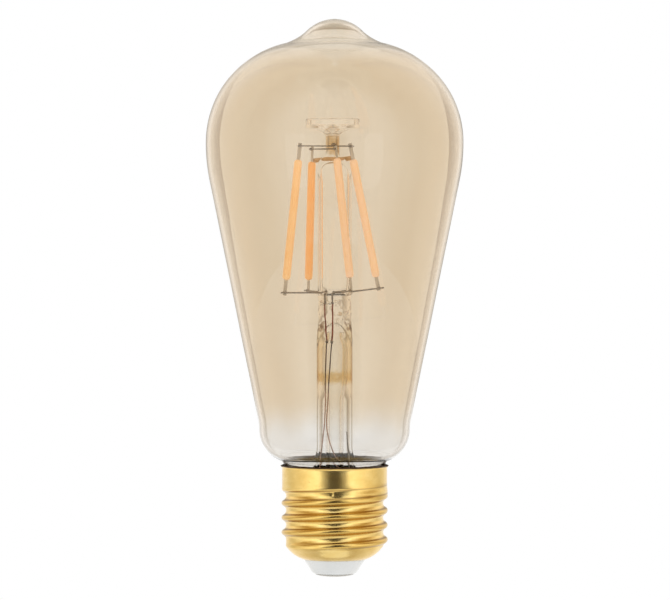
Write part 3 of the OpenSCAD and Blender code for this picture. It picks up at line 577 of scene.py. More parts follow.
def envelope():

    def drift(r, z, a):
        x, y = r * math.cos(a), r * math.sin(a)
        inner = (r - 1) / r if r > 1 else 1
        push = 0.05 * grain(x * inner, y * inner, z, 16, 2) * ease(z, 30, 42) * ease(r, 1, 6)
        scale = (r - 0.05 * ease(z, 60, 80) + push) / r if r > 1 else 1
        return x * scale, y * scale, z

    bm = bmesh.new()
    spin(bm, taper_rows(glass_profile(0)) + taper_rows(glass_profile(WALL))[::-1], 160, drift)
    piece(bm, "envelope_glass", GLASS, ["glass_envelope"])


# ---------- Glass mount ----------

STEM_R, COLUMN_R, TUBE_WALL = 4.45, 4.2, 0.9
PRESS_Z, PRESS_TOP = 61.3, 69.9
BORE_TOP_Z = PRESS_Z - 0.6
COLUMN_CLOSE_Z, HEAD_Z, HEAD_X, HEAD_NECK_R = 100.4, 104.2, -0.5, 1.7
CUP_Z, LIP_Z, LIP_TOP_Z, LIP_R = HEAD_Z + 4.9, HEAD_Z + 7.1, HEAD_Z + 9.5, 6.7
FLARE_TOP_Z = 32.0
LEAD_LEFT, LEAD_RIGHT = (-2.1, -2.1), (-0.49, -2.79)
BUBBLES = 46


def flare_side(r_low, r_high, z_low):
    turns = [math.radians(90 * i / 20) for i in range(21)]
    return [(r_high + (r_low - r_high) * (1 - math.sin(t)),
             z_low + (FLARE_TOP_Z - z_low) * (1 - math.cos(t))) for t in turns]


def rows(r_low, r_high, z_low, z_high, n):
    """(r, z) points that split a straight line in n, without its ends."""
    return [(r_low + (r_high - r_low) * k / n, z_low + (z_high - z_low) * k / n) for k in range(1, n)]


def mount_body():
    """The outside of the mount, the (r, z) points of the stem's bore, and what places them."""
    rim = NECK_R - WALL
    outer = [(rim - 0.03, NECK_Z + 0.02)] + flare_side(rim - 0.03, STEM_R, NECK_Z + 1.4)
    outer += rows(STEM_R, STEM_R, FLARE_TOP_Z, PRESS_Z, 12) + rows(STEM_R, COLUMN_R, PRESS_Z, PRESS_TOP, 26)
    outer += rows(COLUMN_R, COLUMN_R, PRESS_TOP, COLUMN_CLOSE_Z, 12)
    turns = [math.radians(90 * i / 16) for i in range(17)]
    outer += [(HEAD_NECK_R + (COLUMN_R - HEAD_NECK_R) * math.cos(t),
               COLUMN_CLOSE_Z + (HEAD_Z - COLUMN_CLOSE_Z) * math.sin(t)) for t in turns]
    outer += rows(HEAD_NECK_R, HEAD_NECK_R, HEAD_Z, CUP_Z, 6)
    outer += [(HEAD_NECK_R + (LIP_R - HEAD_NECK_R) * (1 - math.cos(t)),
               CUP_Z + (LIP_Z - CUP_Z) * math.sin(t)) for t in turns]
    outer += rows(LIP_R, LIP_R, LIP_Z, LIP_TOP_Z, 4)
    half = TUBE_WALL / 2
    outer += arc((LIP_R - half, LIP_TOP_Z - half), half, 0, 180, 10)
    outer += [((LIP_R - TUBE_WALL) * (1 - math.cos(t)), CUP_Z + 0.9 + (LIP_Z - CUP_Z) * math.sin(t))
              for t in turns[::-1]]
    bore_r = STEM_R - TUBE_WALL
    bore = [(rim - TUBE_WALL, NECK_Z + 0.02)] + flare_side(rim - TUBE_WALL, bore_r, NECK_Z + 0.8)
    bore += rows(bore_r, bore_r, FLARE_TOP_Z, BORE_TOP_Z, 12)
    # The bore ends in a rounded cone that reaches into the press.
    bore += [(3.3, 59.9), (2.9, 60.7), (2.3, 61.6), (1.6, 62.4), (0.9, 62.9), (0.4, 63.1), (0, 63.15)]

    def place(r, z, a):
        x, y = r * math.cos(a), r * math.sin(a)
        if PRESS_Z - 0.5 < z < PRESS_TOP and r > 4:
            worked = ease(z, PRESS_Z - 0.5, PRESS_Z + 1.2) * (1 - ease(z, PRESS_TOP - 1.2, PRESS_TOP))
            pinch = 1 - 0.06 * worked * math.cos(a) ** 2
            lump = 1 + worked * (0.045 * grain(x, y, z, 1.5, 4) + 0.02 * grain(x, y, z, 0.6, 5))
            x, y = x * pinch * lump, y * lump
        shift = HEAD_X * ease(z, COLUMN_CLOSE_Z, HEAD_Z)
        return x + shift, y, z

    bm = bmesh.new()
    spin(bm, outer, 96, place)
    return bm, bore, place


def mount():
    bm, bore, place = mount_body()
    inside = bmesh.new()
    spin(inside, bore, 96, place)
    add_surface(bm, inside)
    # The outside and the bore meet at the flare's rim.
    bmesh.ops.bridge_loops(bm, edges=[e for e in bm.edges if e.is_boundary])
    face_out(bm)
    bore_r = COLUMN_R - TUBE_WALL
    hollow = bmesh.new()
    turns = [math.radians(90 * i / 12) for i in range(13)]
    floor = [(r, PRESS_TOP + rise) for r, rise in ((0, -0.25), (1.6, -0.2), (2.7, 0.1), (3.15, 0.7))]
    roof = [(bore_r * math.cos(t), COLUMN_CLOSE_Z + (HEAD_Z - 1.2 - COLUMN_CLOSE_Z) * math.sin(t))
            for t in turns]
    roof[-1] = (0, roof[-1][1])
    spin(hollow, floor + rows(bore_r, bore_r, PRESS_TOP + 0.9, COLUMN_CLOSE_Z, 12) + roof, 96,
         lambda r, z, a: (r * math.cos(a) + HEAD_X * ease(z, COLUMN_CLOSE_Z, HEAD_Z), r * math.sin(a), z))
    add_hollow(bm, hollow)
    bubbles = bmesh.new()
    for k in range(BUBBLES):
        a, r = rng.uniform(0, 2 * math.pi), 3.3 * math.sqrt(rng.random())
        at = (r * math.cos(a), r * math.sin(a), rng.uniform(PRESS_Z + 1.2, PRESS_TOP - 1.0))
        if min(math.dist(at[:2], p) for p in (LEAD_LEFT, LEAD_RIGHT)) < 0.8:
            continue
        blob(bubbles, at, rng.uniform(0.10, 0.34), k, (1, 1, rng.uniform(1, 2.2)), 0.2, 6, 8)
    add_hollow(bm, bubbles)
    piece(bm, "mount_glass_body", MOUNT,
          ["stem_flare", "stem_press", "column_tube", "column_head"], outward=False)


def exhaust():
    r, z, top_z = 1.9, 23.8, PRESS_Z - 0.62
    bore_r = r - 0.6
    bm = bmesh.new()
    outer = [(0, z), (0.45, z + 0.1), (0.8, z + 0.45), (1.3, z + 1.3), (1.7, z + 2.0), (r, z + 2.8)]
    outer += rows(r, r, z + 2.8, top_z, 10) + [(r, top_z), (bore_r, top_z)]
    inner = rows(bore_r, bore_r, top_z, z + 3.2, 10)
    inner += [(r - 0.7, z + 2.6), (0.6, z + 1.9), (0, z + 1.4)]
    spin(bm, outer + inner, 48)
    piece(bm, "exhaust_glass", EXHAUST, ["exhaust_tube"])


# ---------- LED filaments ----------

FILAMENT_L, FILAMENT_R = 29.8, 1.0
TURN_OF = (206.5, 117, -67, 21)
LIFT_OF = (-0.1, -0.4, 0.5, 0.4)
ARM_RISE_OF = (0.1, 0.3, 0.7, 1.1)
SIDE_OF = (1, 1, -1, -1)
# Half the CAD's wire and half the thickness of a filament's tab, which set how far apart they lie.
WIRE_R, TAB_HALF = 0.3, 0.125
ARM_Z, TOP_WIRE_Z, TOP_STEP = 70.6, 106.9, 0.7
# How deep the coating's colour is on the side that faces forward, for each filament.
TONE_OF = (0.55, 0.95, 0.12, 0.2)


def lower_end(i):
    return Vector((-1, 0, 74 + LIFT_OF[i])) + 12.2 * heading(TURN_OF[i])


def upper_end(i):
    foot = Vector((-2.3, 0, 0)) + 7.4 * heading(TURN_OF[i])
    low = lower_end(i)
    run = (foot.xy - low.xy).length
    return Vector((foot.x, foot.y, low.z + math.sqrt(FILAMENT_L ** 2 - run ** 2)))


def along(i):
    return (upper_end(i) - lower_end(i)).normalized()


def across(i):
    return along(i).cross(heading(TURN_OF[i])).normalized()


def on_line(i, z):
    return lower_end(i) + along(i) * ((z - lower_end(i).z) / along(i).z)


def beside(i, z):
    return on_line(i, z) + SIDE_OF[i] * (TAB_HALF + WIRE_R) * across(i)


def filament(i):
    u, v, w = across(i).cross(along(i)), across(i), along(i)
    low = lower_end(i)
    end = [(0, 0.02), (0.45, 0.03), (0.72, 0.12), (0.88, 0.3), (0.97, 0.6)]
    profile = end + [(FILAMENT_R, 0.9 + (FILAMENT_L - 1.8) * k / 60) for k in range(61)]
    profile += [(r, FILAMENT_L - z) for r, z in reversed(end)]

    def place(r, z, a):
        lump = 1 - 0.035 * (1 + grain(math.cos(a), math.sin(a), z, 1.4, 3 + i)) if r > 0.5 else 1
        return low + w * z + (u * math.cos(a) + v * math.sin(a)) * r * lump

    bm = bmesh.new()
    spin(bm, profile, 28, place)
    obj = piece(bm, f"filament_stick_{i + 1}", PHOSPHOR, [f"filament_coating_{i + 1}"])
    # The strip's printed side is deeper in colour than its back.
    tone = obj.data.attributes.new("tone", "FLOAT", "POINT")
    for vertex, value in zip(obj.data.vertices, tone.data):
        p = vertex.co / MM
        t = (p - low).dot(w)
        out = p - low - w * t
        front = out.normalized().dot(Vector((0, -1, 0))) if out.length > 0.05 else 0
        ends = 0.12 * (1 - ease(min(t, FILAMENT_L - t), 0, 2))
        side = TONE_OF[i] + (0.5 - TONE_OF[i]) * (0.5 - 0.5 * front)
        value.value = min(1, max(0, side - ends + 0.1 * grain(*p, 3, 11)))


# ---------- Wires of the mount ----------

KNOT_LEFT, KNOT_RIGHT, KNOT_Z = (-1.75, -2.4), (-0.65, -2.75), 58.5
# Radii of the wires and of their weld metal, as shown.
TOP_WIRE_R, LOWER_WIRE_R, OUTER_LEAD_R, ANTENNA_R = 0.16, 0.2, 0.13, 0.12
WELD_R, HUB_WELD_R, KNOT_R = 0.38, 0.45, 0.34
# The wires come down PAD_Y in front of the board or behind it, and turn in to it at BOARD_Z.
BOARD_X, BOARD_Z, PAD_Y, PAD_TOP_Z = 3.4, 21.5, 2, 22.7


def lifted(p, z):
    return Vector((p[0], p[1], z))


def top_height(i):
    return TOP_WIRE_Z if i in (0, 3) else TOP_WIRE_Z - TOP_STEP


def past(i, z, over):
    return beside(i, z) + over * heading(TURN_OF[i])


def arm_end(i):
    return past(i, ARM_Z + ARM_RISE_OF[i], 1.3)


def hub(i):
    h = heading(TURN_OF[i])
    e = lifted(beside(i, ARM_Z + ARM_RISE_OF[i]), 0)
    return lifted(e - (e.dot(h) - 2.4) * h, ARM_Z)


def weld(bm, at, r, seed, squash=(1, 1, 0.8)):
    blob(bm, at, r, seed, squash, 0.35)


def top_wire(name, a, b, node):
    z = top_height(a)
    v = (past(b, z, 0) - past(a, z, 0)).normalized()
    middle = Vector((HEAD_X, 0, z))
    route = [past(a, z, 0.8), past(a, z, -0.9), middle - v * 2.6,
             middle + v * 2.6, past(b, z, -0.9), past(b, z, 0.8)]
    bm = bmesh.new()
    tube(bm, fine(bend(route, 1.2), 1.5), TOP_WIRE_R, wobble=0.1, seed=a + 2)
    for k, i in enumerate((a, b)):
        weld(bm, beside(i, z), WELD_R, 20 + 2 * a + k, (1, 1, 0.9))
    if a == 0:
        blob(bm, (HEAD_X + 0.3, -0.4, z + 0.3), 0.55, 40, (1.1, 0.9, 0.9), 0.5)
    piece(bm, name, NICKEL, [node])


def lower_wires():
    for name, seat, i, node in (("lead_wire_left_round", LEAD_LEFT, 0, "lead_wire_left"),
                                ("lead_wire_right_round", LEAD_RIGHT, 2, "lead_wire_right")):
        route = [lifted(seat, 67.8), lifted(seat, 70.3), hub(i), arm_end(i)]
        bm = bmesh.new()
        tube(bm, fine(bend(route, 0.9), 1.2), LOWER_WIRE_R, wobble=0.1, seed=i)
        weld(bm, lifted(seat, 68.0), WELD_R, i + 3)
        weld(bm, beside(i, ARM_Z + ARM_RISE_OF[i]), WELD_R, i + 5)
        piece(bm, name, NICKEL, [node])
    for name, i, j, node in (("arm_wire_left_round", 0, 1, "arm_wire_left"),
                             ("arm_wire_right_round", 2, 3, "arm_wire_right")):
        start = hub(i) + 0.25 * (hub(j) - hub(i)).normalized()
        bm = bmesh.new()
        tube(bm, fine(bend([start, hub(j), arm_end(j)], 0.9), 1.2), LOWER_WIRE_R, wobble=0.1, seed=j)
        weld(bm, hub(i), HUB_WELD_R, i + 7)
        weld(bm, beside(j, ARM_Z + ARM_RISE_OF[j]), WELD_R, j + 9)
        piece(bm, name, NICKEL, [node])


def seal_and_leads():
    bm = bmesh.new()
    for knot, seat in ((KNOT_LEFT, LEAD_LEFT), (KNOT_RIGHT, LEAD_RIGHT)):
        route = [lifted(knot, KNOT_Z + 0.3), lifted(seat, BORE_TOP_Z), lifted(seat, 67.9)]
        tube(bm, fine(bend(route, 0.8), 0.8), LOWER_WIRE_R, wobble=0.1, seed=3)
    piece(bm, "seal_wires_round", SEALING, ["seal_wires"])
    bm = bmesh.new()
    for k, knot in enumerate((KNOT_LEFT, KNOT_RIGHT)):
        weld(bm, lifted(knot, KNOT_Z), KNOT_R, 31 + k, (0.95, 0.95, 1.4))
    piece(bm, "lead_knot_welds", NICKEL, ["lead_knots"])
    left = [lifted(KNOT_LEFT, KNOT_Z - 0.3), (-2.0, -2.0, 48), (-2.3, -1.5, 38), (-3.3, -1, 29),
            (-3.6, -2, 25)]
    right = [lifted(KNOT_RIGHT, KNOT_Z - 0.3), (-1.3, -2.65, 48), (-2, -2.5, 38), (-1.5, -2.7, 34.5),
             (0.2, -2.9, 29), (2.4, -2.5, 25)]
    for route, x in ((left, -BOARD_X), (right, BOARD_X)):
        route += [(x, -PAD_Y, PAD_TOP_Z), (x, -PAD_Y, BOARD_Z), (x, -1.3, BOARD_Z)]
    for name, route, node in (("outer_lead_left_round", left, "outer_lead_left"),
                              ("outer_lead_right_round", right, "outer_lead_right")):
        bm = bmesh.new()
        tube(bm, fine(bend(route, 2.5), 1.0), OUTER_LEAD_R, 10, 0.12, 8)
        piece(bm, name, LEAD, [node])
    antenna = [(BOARD_X, 1.3, BOARD_Z), (BOARD_X, PAD_Y, BOARD_Z), (BOARD_X, 2.1, 23), (2.9, 2.2, 27),
               (2.5, 1.9, 32), (2.4, 1.5, 36)]
    bm = bmesh.new()
    tube(bm, fine(bend(antenna, 1.5), 1.0), ANTENNA_R, 10)
    piece(bm, "antenna_wire_round", ENAMEL, ["antenna_wire"])


# ---------- Screw cap ----------

PITCH, DEPTH, CREST_Z = 3.629, 1.12, 20.09
CREST_R, SKIRT_R, RIM_Z = 13.2, 13.05, 27.6
ROOT_R = CREST_R - DEPTH
ARCS = (PITCH ** 2 / 4 + DEPTH ** 2) / (2 * DEPTH)
CREST_ARC = 0.38 * ARCS
ROOT_ARC = ARCS - CREST_ARC
MEET = CREST_ARC * PITCH / 2 / ARCS
THREAD_LOW_Z, THREAD_HIGH_Z = 7.6, 22.8
END_R, HOLE = 7.9, (7.7, 4.3)
SHELL_WALL, RIM_TURN = 0.3, 0.8
# The shell's crimp: a short upright notch at the front.
CRIMP_X, CRIMP_DEPTH, CRIMP_HALF_W, CRIMP_LOW_Z, CRIMP_HIGH_Z = -0.67, 0.16, 0.2, 20.6, 21.8
# Radius at which grain is read round the cap.
GRAIN_R = 13


def drop(u):
    """How far the thread lies under its crest, at a distance of u along the axis."""
    if abs(u) < MEET:
        return CREST_ARC - math.sqrt(CREST_ARC ** 2 - u * u)
    return DEPTH - ROOT_ARC + math.sqrt(ROOT_ARC ** 2 - (PITCH / 2 - abs(u)) ** 2)


def thread_height(turned, z):
    """Height over the root line, with the angle in turns."""
    turns = (z - CREST_Z) / PITCH - turned
    groove = math.floor(turns) + turned
    nearest = math.floor(turns + 0.5)
    crest = nearest + turned
    u = (turns - nearest) * PITCH
    run_out = 1 - ease(groove, -0.5, -0.02)
    run_in = ease(crest, -3.55, -3.1)
    return run_in * (DEPTH - run_out * drop(u))


def thread_place(turned, z):
    """Distance from the nearest crest line, and how far the thread has risen there (0 to 1)."""
    turns = (z - CREST_Z) / PITCH - turned
    nearest = math.floor(turns + 0.5)
    shown = (1 - ease(turns, -0.35, 0.05)) * ease(nearest + turned, -3.55, -3.1) * ease(z, 7.0, 8.0)
    return abs(turns - nearest) * PITCH, shown


def end_centre():
    a, b = Vector((ROOT_R, THREAD_LOW_Z)), Vector(HOLE)
    chord, middle = b - a, (a + b) / 2
    h = math.sqrt(END_R ** 2 - (chord.length / 2) ** 2)
    n = Vector((chord.y, -chord.x)).normalized()
    return middle - h * (n if n.x > 0 else -n)


def shell():
    sides, thread_rows, end_rows = 300, 150, 22
    set_in = CREST_R - SKIRT_R
    centre = end_centre()
    a0 = math.degrees(math.atan2(THREAD_LOW_Z - centre.y, ROOT_R - centre.x))
    a1 = math.degrees(math.atan2(HOLE[1] - centre.y, HOLE[0] - centre.x))
    # Each row of the shell: r, z and the way it faces.
    line = [(ROOT_R - set_in + 0.42 * (1 - k / 10) ** 2, RIM_Z - RIM_TURN * k / 10, 1, 0)
            for k in range(11)]
    line += [(ROOT_R - set_in, RIM_Z - RIM_TURN - 4.0 * k / 6, 1, 0) for k in range(1, 6)]
    for k in range(thread_rows + 1):
        z = THREAD_HIGH_Z - (THREAD_HIGH_Z - THREAD_LOW_Z) * k / thread_rows
        line.append((ROOT_R - set_in * ease(z, 21, 22.6), z, 1, 0))
    for k in range(1, end_rows + 1):
        t = math.radians(a0 + (a1 - a0) * k / end_rows)
        facing = math.cos(t), math.sin(t)
        line.append((centre.x + END_R * facing[0], centre.y + END_R * facing[1], *facing))
    bm = bmesh.new()
    flank_shade, crest = [], []

    def skin(inset):
        made = []
        for r, z, nr, nz in line:
            ring = []
            for k in range(sides):
                turned = k / sides
                a = 2 * math.pi * turned
                in_thread = z > THREAD_LOW_Z - 0.01
                lift = thread_height(turned, max(z, THREAD_LOW_Z))
                if not in_thread:
                    lift *= 1 - ease(THREAD_LOW_Z - z, 0, 1.6)
                x, y = math.cos(a), math.sin(a)
                at = (x * GRAIN_R, y * GRAIN_R, z)
                dent = 0.02 * (grain(*at, 5, 1) + 0.5 * grain(*at, 1.6, 2))
                aside = at[0] - CRIMP_X
                if y < 0 and abs(aside) < 1:
                    upright = (ease(z, CRIMP_LOW_Z, CRIMP_LOW_Z + 0.3)
                               * (1 - ease(z, CRIMP_HIGH_Z - 0.3, CRIMP_HIGH_Z)))
                    dent += CRIMP_DEPTH * math.exp(-(aside / CRIMP_HALF_W) ** 2) * upright
                radius = r + lift - dent - inset * nr
                ring.append(bm.verts.new(Vector((radius * x, radius * y, z - inset * nz)) * MM))
                # Weights of the painted reflection on the thread: a line on each flank, and the crests.
                away, shown = thread_place(turned, z)
                flank_shade.append(shown * math.exp(-((away - MEET * 1.15) / 0.2) ** 2))
                crest.append(shown * (1 - ease(away, MEET * 0.75, MEET * 1.2)))
            made.append(ring)
        return made

    outer, inner = skin(0), skin(SHELL_WALL)
    wrap(bm, outer + inner[::-1] + outer[:1])
    obj = piece(bm, "brass_shell", BRASS, ["screw_shell"])
    obj.data.attributes.new("flank_shade", "FLOAT", "POINT").data.foreach_set("value", flank_shade)
    obj.data.attributes.new("crest", "FLOAT", "POINT").data.foreach_set("value", crest)


def cement_bead():
    profile = [(12.36, 23.0), (12.7, 23.0), (12.7, 26.95), (12.95, 27.2), (13.25, 27.36), (13.4, 27.5),
               (13.32, 27.66), (13.0, 27.8), (12.8, 27.78), (12.62, 27.5), (12.42, 27.1), (12.36, 26.6)]

    def place(r, z, a):
        x, y = math.cos(a), math.sin(a)
        top = ease(z, 26.9, 27.6)
        at = (x * GRAIN_R, y * GRAIN_R, 0)
        lump = grain(*at, 1.8, 6) + 0.6 * grain(*at, 0.7, 7)
        # Only the side away from the glass swells.
        swollen = min(r + 0.05 * top * lump * (1 if r > 12.9 else 0), 13.5)
        return swollen * x, swollen * y, z + 0.1 * top * lump

    bm = bmesh.new()
    spin(bm, profile, 220, place, closed=True)
    piece(bm, "cement_bead", CEMENT, ["cap_cement"])


def lower_end_pieces():
    pin_r, floor_z = 1.1, 6.2
    bm = bmesh.new()
    outer = [(0, 0.0), (1.2, 0.0), (2.2, 0.05), (3.2, 0.16), (4.1, 0.33), (4.6, 0.47), (4.78, 0.58),
             (4.7, 0.7)]
    spin(bm, outer + [(pin_r, 0.9), (pin_r, floor_z), (0, floor_z)], 96)
    piece(bm, "contact_dome", CONTACT, ["centre_contact", "contact_solder"])
    bm = bmesh.new()
    outer = [(pin_r + 0.05, 0.95), (4.5, 0.78), (4.9, 0.72), (5.2, 0.84), (5.5, 1.05), (5.72, 1.32),
             (6.0, 1.8)]
    outer += rows(6.0, 7.55, 1.8, 4.15, 8) + [(7.55, 4.15), (7.58, 4.6)]
    centre = end_centre()
    reach = END_R - 0.35
    for k in range(9):
        r = 7.7 + 2.9 * k / 8
        outer.append((r, centre.y - math.sqrt(reach ** 2 - (r - centre.x) ** 2)))
    outer += [(10.6, 7.9), (9.2, 7.9), (8.6, floor_z), (pin_r + 0.05, floor_z)]
    spin(bm, outer, 128, closed=True)
    piece(bm, "insulator_body", INSULATOR, ["base_insulator"], sharp=40)


RIBBON_HALF_H, RIBBON_HALF_W, RIBBON_BOW, RIBBON_WAVE = 0.52, 0.11, 0.25, 0.12


def ribbon():
    """A flat tie behind the column, from filament 2 to filament 4."""
    a, b = on_line(1, 103.25), on_line(3, 104.0)
    v = b - a
    side = Vector((v.y, -v.x, 0)).normalized()
    bm = bmesh.new()
    rings = []
    steps = 24
    for k in range(steps + 1):
        t = k / steps
        p = a.lerp(b, t) - side * (RIBBON_BOW * math.sin(math.pi * t))
        p.z += RIBBON_WAVE * math.sin(math.pi * 2 * t)
        h, w = RIBBON_HALF_H + 0.04 * grain(t * 9, 0, 0, 1.5), RIBBON_HALF_W
        corners = [(-w, -h), (-w * 0.6, -h - 0.03), (w * 0.6, -h - 0.03), (w, -h),
                   (w, h), (w * 0.6, h + 0.03), (-w * 0.6, h + 0.03), (-w, h)]
        rings.append([bm.verts.new((p + side * q + Vector((0, 0, z))) * MM) for q, z in corners])
    wrap(bm, rings)
    bm.faces.new(rings[0])
    bm.faces.new(rings[-1])
    piece(bm, "top_ribbon_tie", RIBBON, ["top_ribbon"], sharp=35)


# ---------- Build ----------

envelope()
mount()
exhaust()
for index in range(4):
    filament(index)
top_wire("top_wire_left_right_round", 0, 3, "top_wire_left_right")
top_wire("top_wire_front_back_round", 1, 2, "top_wire_front_back")
lower_wires()
seal_and_leads()
shell()
cement_bead()
lower_end_pieces()
ribbon()

for name, obj in nodes.items():
    if obj.hide_render:
        continue
    for material_slot in obj.material_slots:
        material_slot.link = "OBJECT"
        material_slot.material = KEPT[name.rstrip("_1234")]


# ---------- Studio ----------

# Screens that stand near the cap, and the taller wall and dome outside them.
NEAR_R, FAR_R = 0.15, 0.16
SCREEN_FOOT_Z, CAP_SCREEN_TOP_Z, DOME_Z, BACK_DOME_Z = -0.05, 0.03, 0.13, 0.156
# Headings where the screens meet, counted from the camera's side.
FRONT_TURN, SIDE_TURN, BACK_TURN = 14, 40, 164
FLOOR_R, FLOOR_Z, CARD_TOP_Z = 1.6, -0.3, 0.7
CAMERA_AT, CAMERA_AIM, LENS = (0.0001, -1.2, 0.095), (0.0001, 0, 0.0687), 259.8


def unseen(obj, through=False):
    """Leaves an object of the studio to mirrored rays, and to rays that leave glass if it is through."""
    obj.visible_camera = False
    obj.visible_diffuse = False
    obj.visible_transmission = through
    obj.visible_shadow = False


def card(name, corners, strength):
    """A flat white panel that only reflections see."""
    mesh = bpy.data.meshes.new(name)
    mesh.from_pydata(corners, [], [(0, 1, 2, 3)])
    material = bpy.data.materials.new(name)
    material.use_nodes = True
    tree = material.node_tree
    tree.nodes.clear()
    glow = tree.nodes.new("ShaderNodeEmission")
    out = tree.nodes.new("ShaderNodeOutputMaterial")
    tree.links.new(glow.outputs["Emission"], out.inputs["Surface"])
    glow.inputs["Strength"].default_value = strength
    glow.inputs["Color"].default_value = (1.0, 1.0, 1.0, 1)
    unseen(place_object(name, mesh, material))


def surround(name, line, low, high, finish, shade, through=False):
    """Part of a lathed screen round the lamp, from heading low to high, on both sides.

    Headings count from the camera's side. shade(around, r, z) is stored on the screen for its finish.
    """
    steps = 60
    bm = bmesh.new()
    values = []
    for side in (1, -1):
        rings = []
        for r, z in line:
            ring = []
            for k in range(steps + 1):
                around = low + (high - low) * k / steps
                a = math.radians(around)
                ring.append(bm.verts.new((side * r * math.sin(a), -r * math.cos(a), z)))
                values.append(shade(around, r, z))
            rings.append(ring)
        for under, over in zip(rings, rings[1:]):
            for k in range(steps):
                bm.faces.new((under[k], under[k + 1], over[k + 1], over[k]))
    mesh = bpy.data.meshes.new(name)
    bm.to_mesh(mesh)
    bm.free()
    mesh.attributes.new("shade", "FLOAT", "POINT").data.foreach_set("value", values)
    unseen(place_object(name, mesh, finish.material), through)


def glow(name, strength, *stops):
    """A finish that gives off the colour that the stops give to the stored shade."""
    finish = Finish(name, Roughness=1.0, Specular_IOR_Level=0.0, Emission_Strength=strength)
    finish.bsdf.inputs["Base Color"].default_value = (0, 0, 0, 1)
    finish.set("Emission Color", finish.ramp(finish.attribute("shade"), *stops))
    return finish


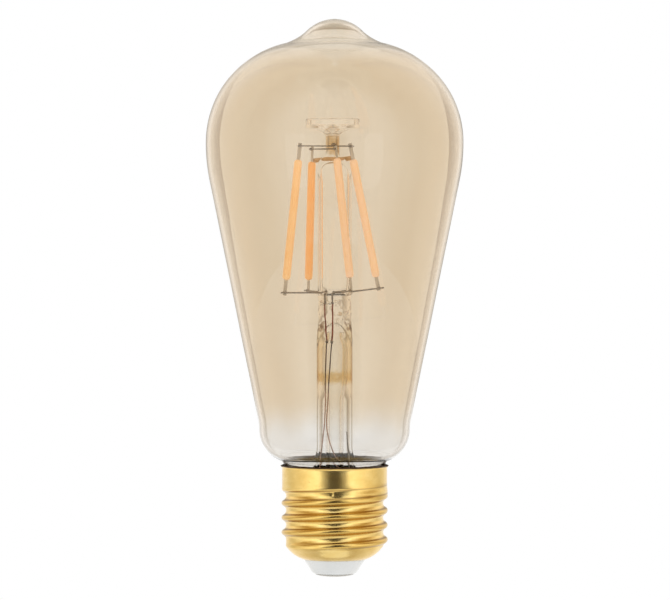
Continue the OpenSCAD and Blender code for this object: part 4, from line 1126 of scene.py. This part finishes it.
def studio_screens():
    """Screens that give the brass and the glass's edges something to mirror."""
    def low_shade(around, r, z):
        tall = CAP_SCREEN_TOP_Z - SCREEN_FOOT_Z
        wide = 1 - 0.4 * max(0.0, min(1.0, (CAP_SCREEN_TOP_Z - z) / tall))
        near = around * wide if around < 60 else 60 * wide + (around - 60) * (180 - 60 * wide) / 120
        return near / 180

    brass_glow = glow("screen_low", 1.35, (0.0, (0.05, 0.045, 0.04)), (0.065, (0.06, 0.055, 0.05)),
                      (0.115, (0.30, 0.29, 0.27)), (0.165, (0.98, 0.96, 0.92)), (0.25, (0.95, 0.92, 0.86)),
                      (0.42, (0.74, 0.70, 0.64)), (0.60, (0.55, 0.52, 0.47)), (0.76, (0.70, 0.68, 0.66)),
                      (1.0, (0.80, 0.80, 0.80)))
    surround("screen_low", [(NEAR_R, z) for z in (SCREEN_FOOT_Z, -0.02, 0.005, CAP_SCREEN_TOP_Z)], 0, 180,
             brass_glow, low_shade)
    floor_glow = glow("screen_floor", 1.1, (0.0, (0.42, 0.38, 0.32)), (0.45, (0.80, 0.76, 0.70)),
                      (1.0, (1.0, 0.97, 0.92)))
    surround("screen_floor", [(r, SCREEN_FOOT_Z) for r in (0.02, 0.08, NEAR_R)], 0, 180, floor_glow,
             lambda around, r, z: r / NEAR_R)
    dark_glow = glow("screen_front", 1.0, (0.0, (0.07, 0.06, 0.05)), (0.5, (0.10, 0.09, 0.08)),
                     (1.0, (0.85, 0.82, 0.78)))
    surround("screen_front", [(NEAR_R, z) for z in (CAP_SCREEN_TOP_Z, 0.06, 0.10, 0.14)], 0, FRONT_TURN,
             dark_glow, lambda around, r, z: max(0, (around - 12 + 60 * (z - CAP_SCREEN_TOP_Z)) / 4))
    glass_glow = glow("screen_sides", 1.2, (0.24, (0.85, 0.83, 0.80)), (0.34, (0.58, 0.45, 0.28)),
                      (0.43, (0.40, 0.27, 0.11)), (0.54, (0.62, 0.50, 0.36)), (0.67, (0.95, 0.88, 0.80)),
                      (0.80, (0.85, 0.80, 0.74)), (0.91, (0.42, 0.38, 0.33)))
    wall = [(FAR_R, z) for z in (-0.25, SCREEN_FOOT_Z, CAP_SCREEN_TOP_Z, 0.08, DOME_Z)]
    dome = [(FAR_R * math.cos(math.radians(t)), DOME_Z + FAR_R * math.sin(math.radians(t)))
            for t in (15, 30, 45, 60, 75, 88)]

    def angle_off(around, r, z):
        """Angle from the camera's side, as a share of half a turn."""
        forward, rise = r * math.cos(math.radians(around)), max(0, z - DOME_Z)
        return math.degrees(math.acos(max(-1, min(1, forward / math.hypot(r, rise))))) / 180

    surround("screen_sides", wall + dome, SIDE_TURN, BACK_TURN, glass_glow, angle_off, through=True)
    surround("screen_top", wall[-1:] + dome, 0, SIDE_TURN, glass_glow, angle_off, through=True)
    above_glow = glow("screen_above", 1.0, (0.0, (0.46, 0.42, 0.37)), (0.5, (0.66, 0.61, 0.54)),
                      (1.0, (0.85, 0.79, 0.70)))
    surround("screen_above", [(0.158, BACK_DOME_Z)] + dome, BACK_TURN, 180, above_glow,
             lambda around, r, z: (z - BACK_DOME_Z) / 0.09, through=True)
    back_glow = glow("screen_back", 1.0, (0.0, (0.45, 0.41, 0.35)), (1.0, (0.47, 0.43, 0.37)))
    surround("screen_back", wall, BACK_TURN, 180, back_glow, angle_off)


def studio():
    world = bpy.data.worlds.new("studio")
    scene.world = world
    world.use_nodes = True
    background = world.node_tree.nodes["Background"]
    background.inputs["Color"].default_value = (1.0, 1.0, 1.0, 1)
    background.inputs["Strength"].default_value = 1.0

    bm = bmesh.new()
    bmesh.ops.create_circle(bm, cap_ends=True, segments=64, radius=FLOOR_R)
    mesh = bpy.data.meshes.new("floor")
    bm.to_mesh(mesh)
    bm.free()
    finish = Finish("floor", Roughness=0.9)
    finish.set("Base Color", finish.mottle((0.93, 0.93, 0.925), (0.95, 0.95, 0.945), 400, 2.0))
    floor = place_object("floor", mesh, finish.material)
    floor.location.z = FLOOR_Z

    for name, a, b in (("soft_left", (-0.9, -0.7), (-0.45, -0.9)),
                       ("soft_right", (0.45, -0.9), (0.9, -0.7))):
        card(name, [(*a, FLOOR_Z), (*b, FLOOR_Z), (*b, CARD_TOP_Z), (*a, CARD_TOP_Z)], 1.5)

    studio_screens()

    camera = bpy.data.cameras.new("camera")
    camera.sensor_width = 36
    camera.lens = LENS
    camera.clip_start, camera.clip_end = 0.05, 50
    obj = bpy.data.objects.new("camera", camera)
    scene.collection.objects.link(obj)
    obj.location = CAMERA_AT
    obj.rotation_mode = "QUATERNION"
    obj.rotation_quaternion = (Vector(CAMERA_AIM) - obj.location).to_track_quat("-Z", "Y")
    scene.camera = obj

    scene.view_settings.view_transform = "Standard"
    scene.cycles.max_bounces = 32
    scene.cycles.transmission_bounces = 32
    scene.cycles.glossy_bounces = 8


studio()
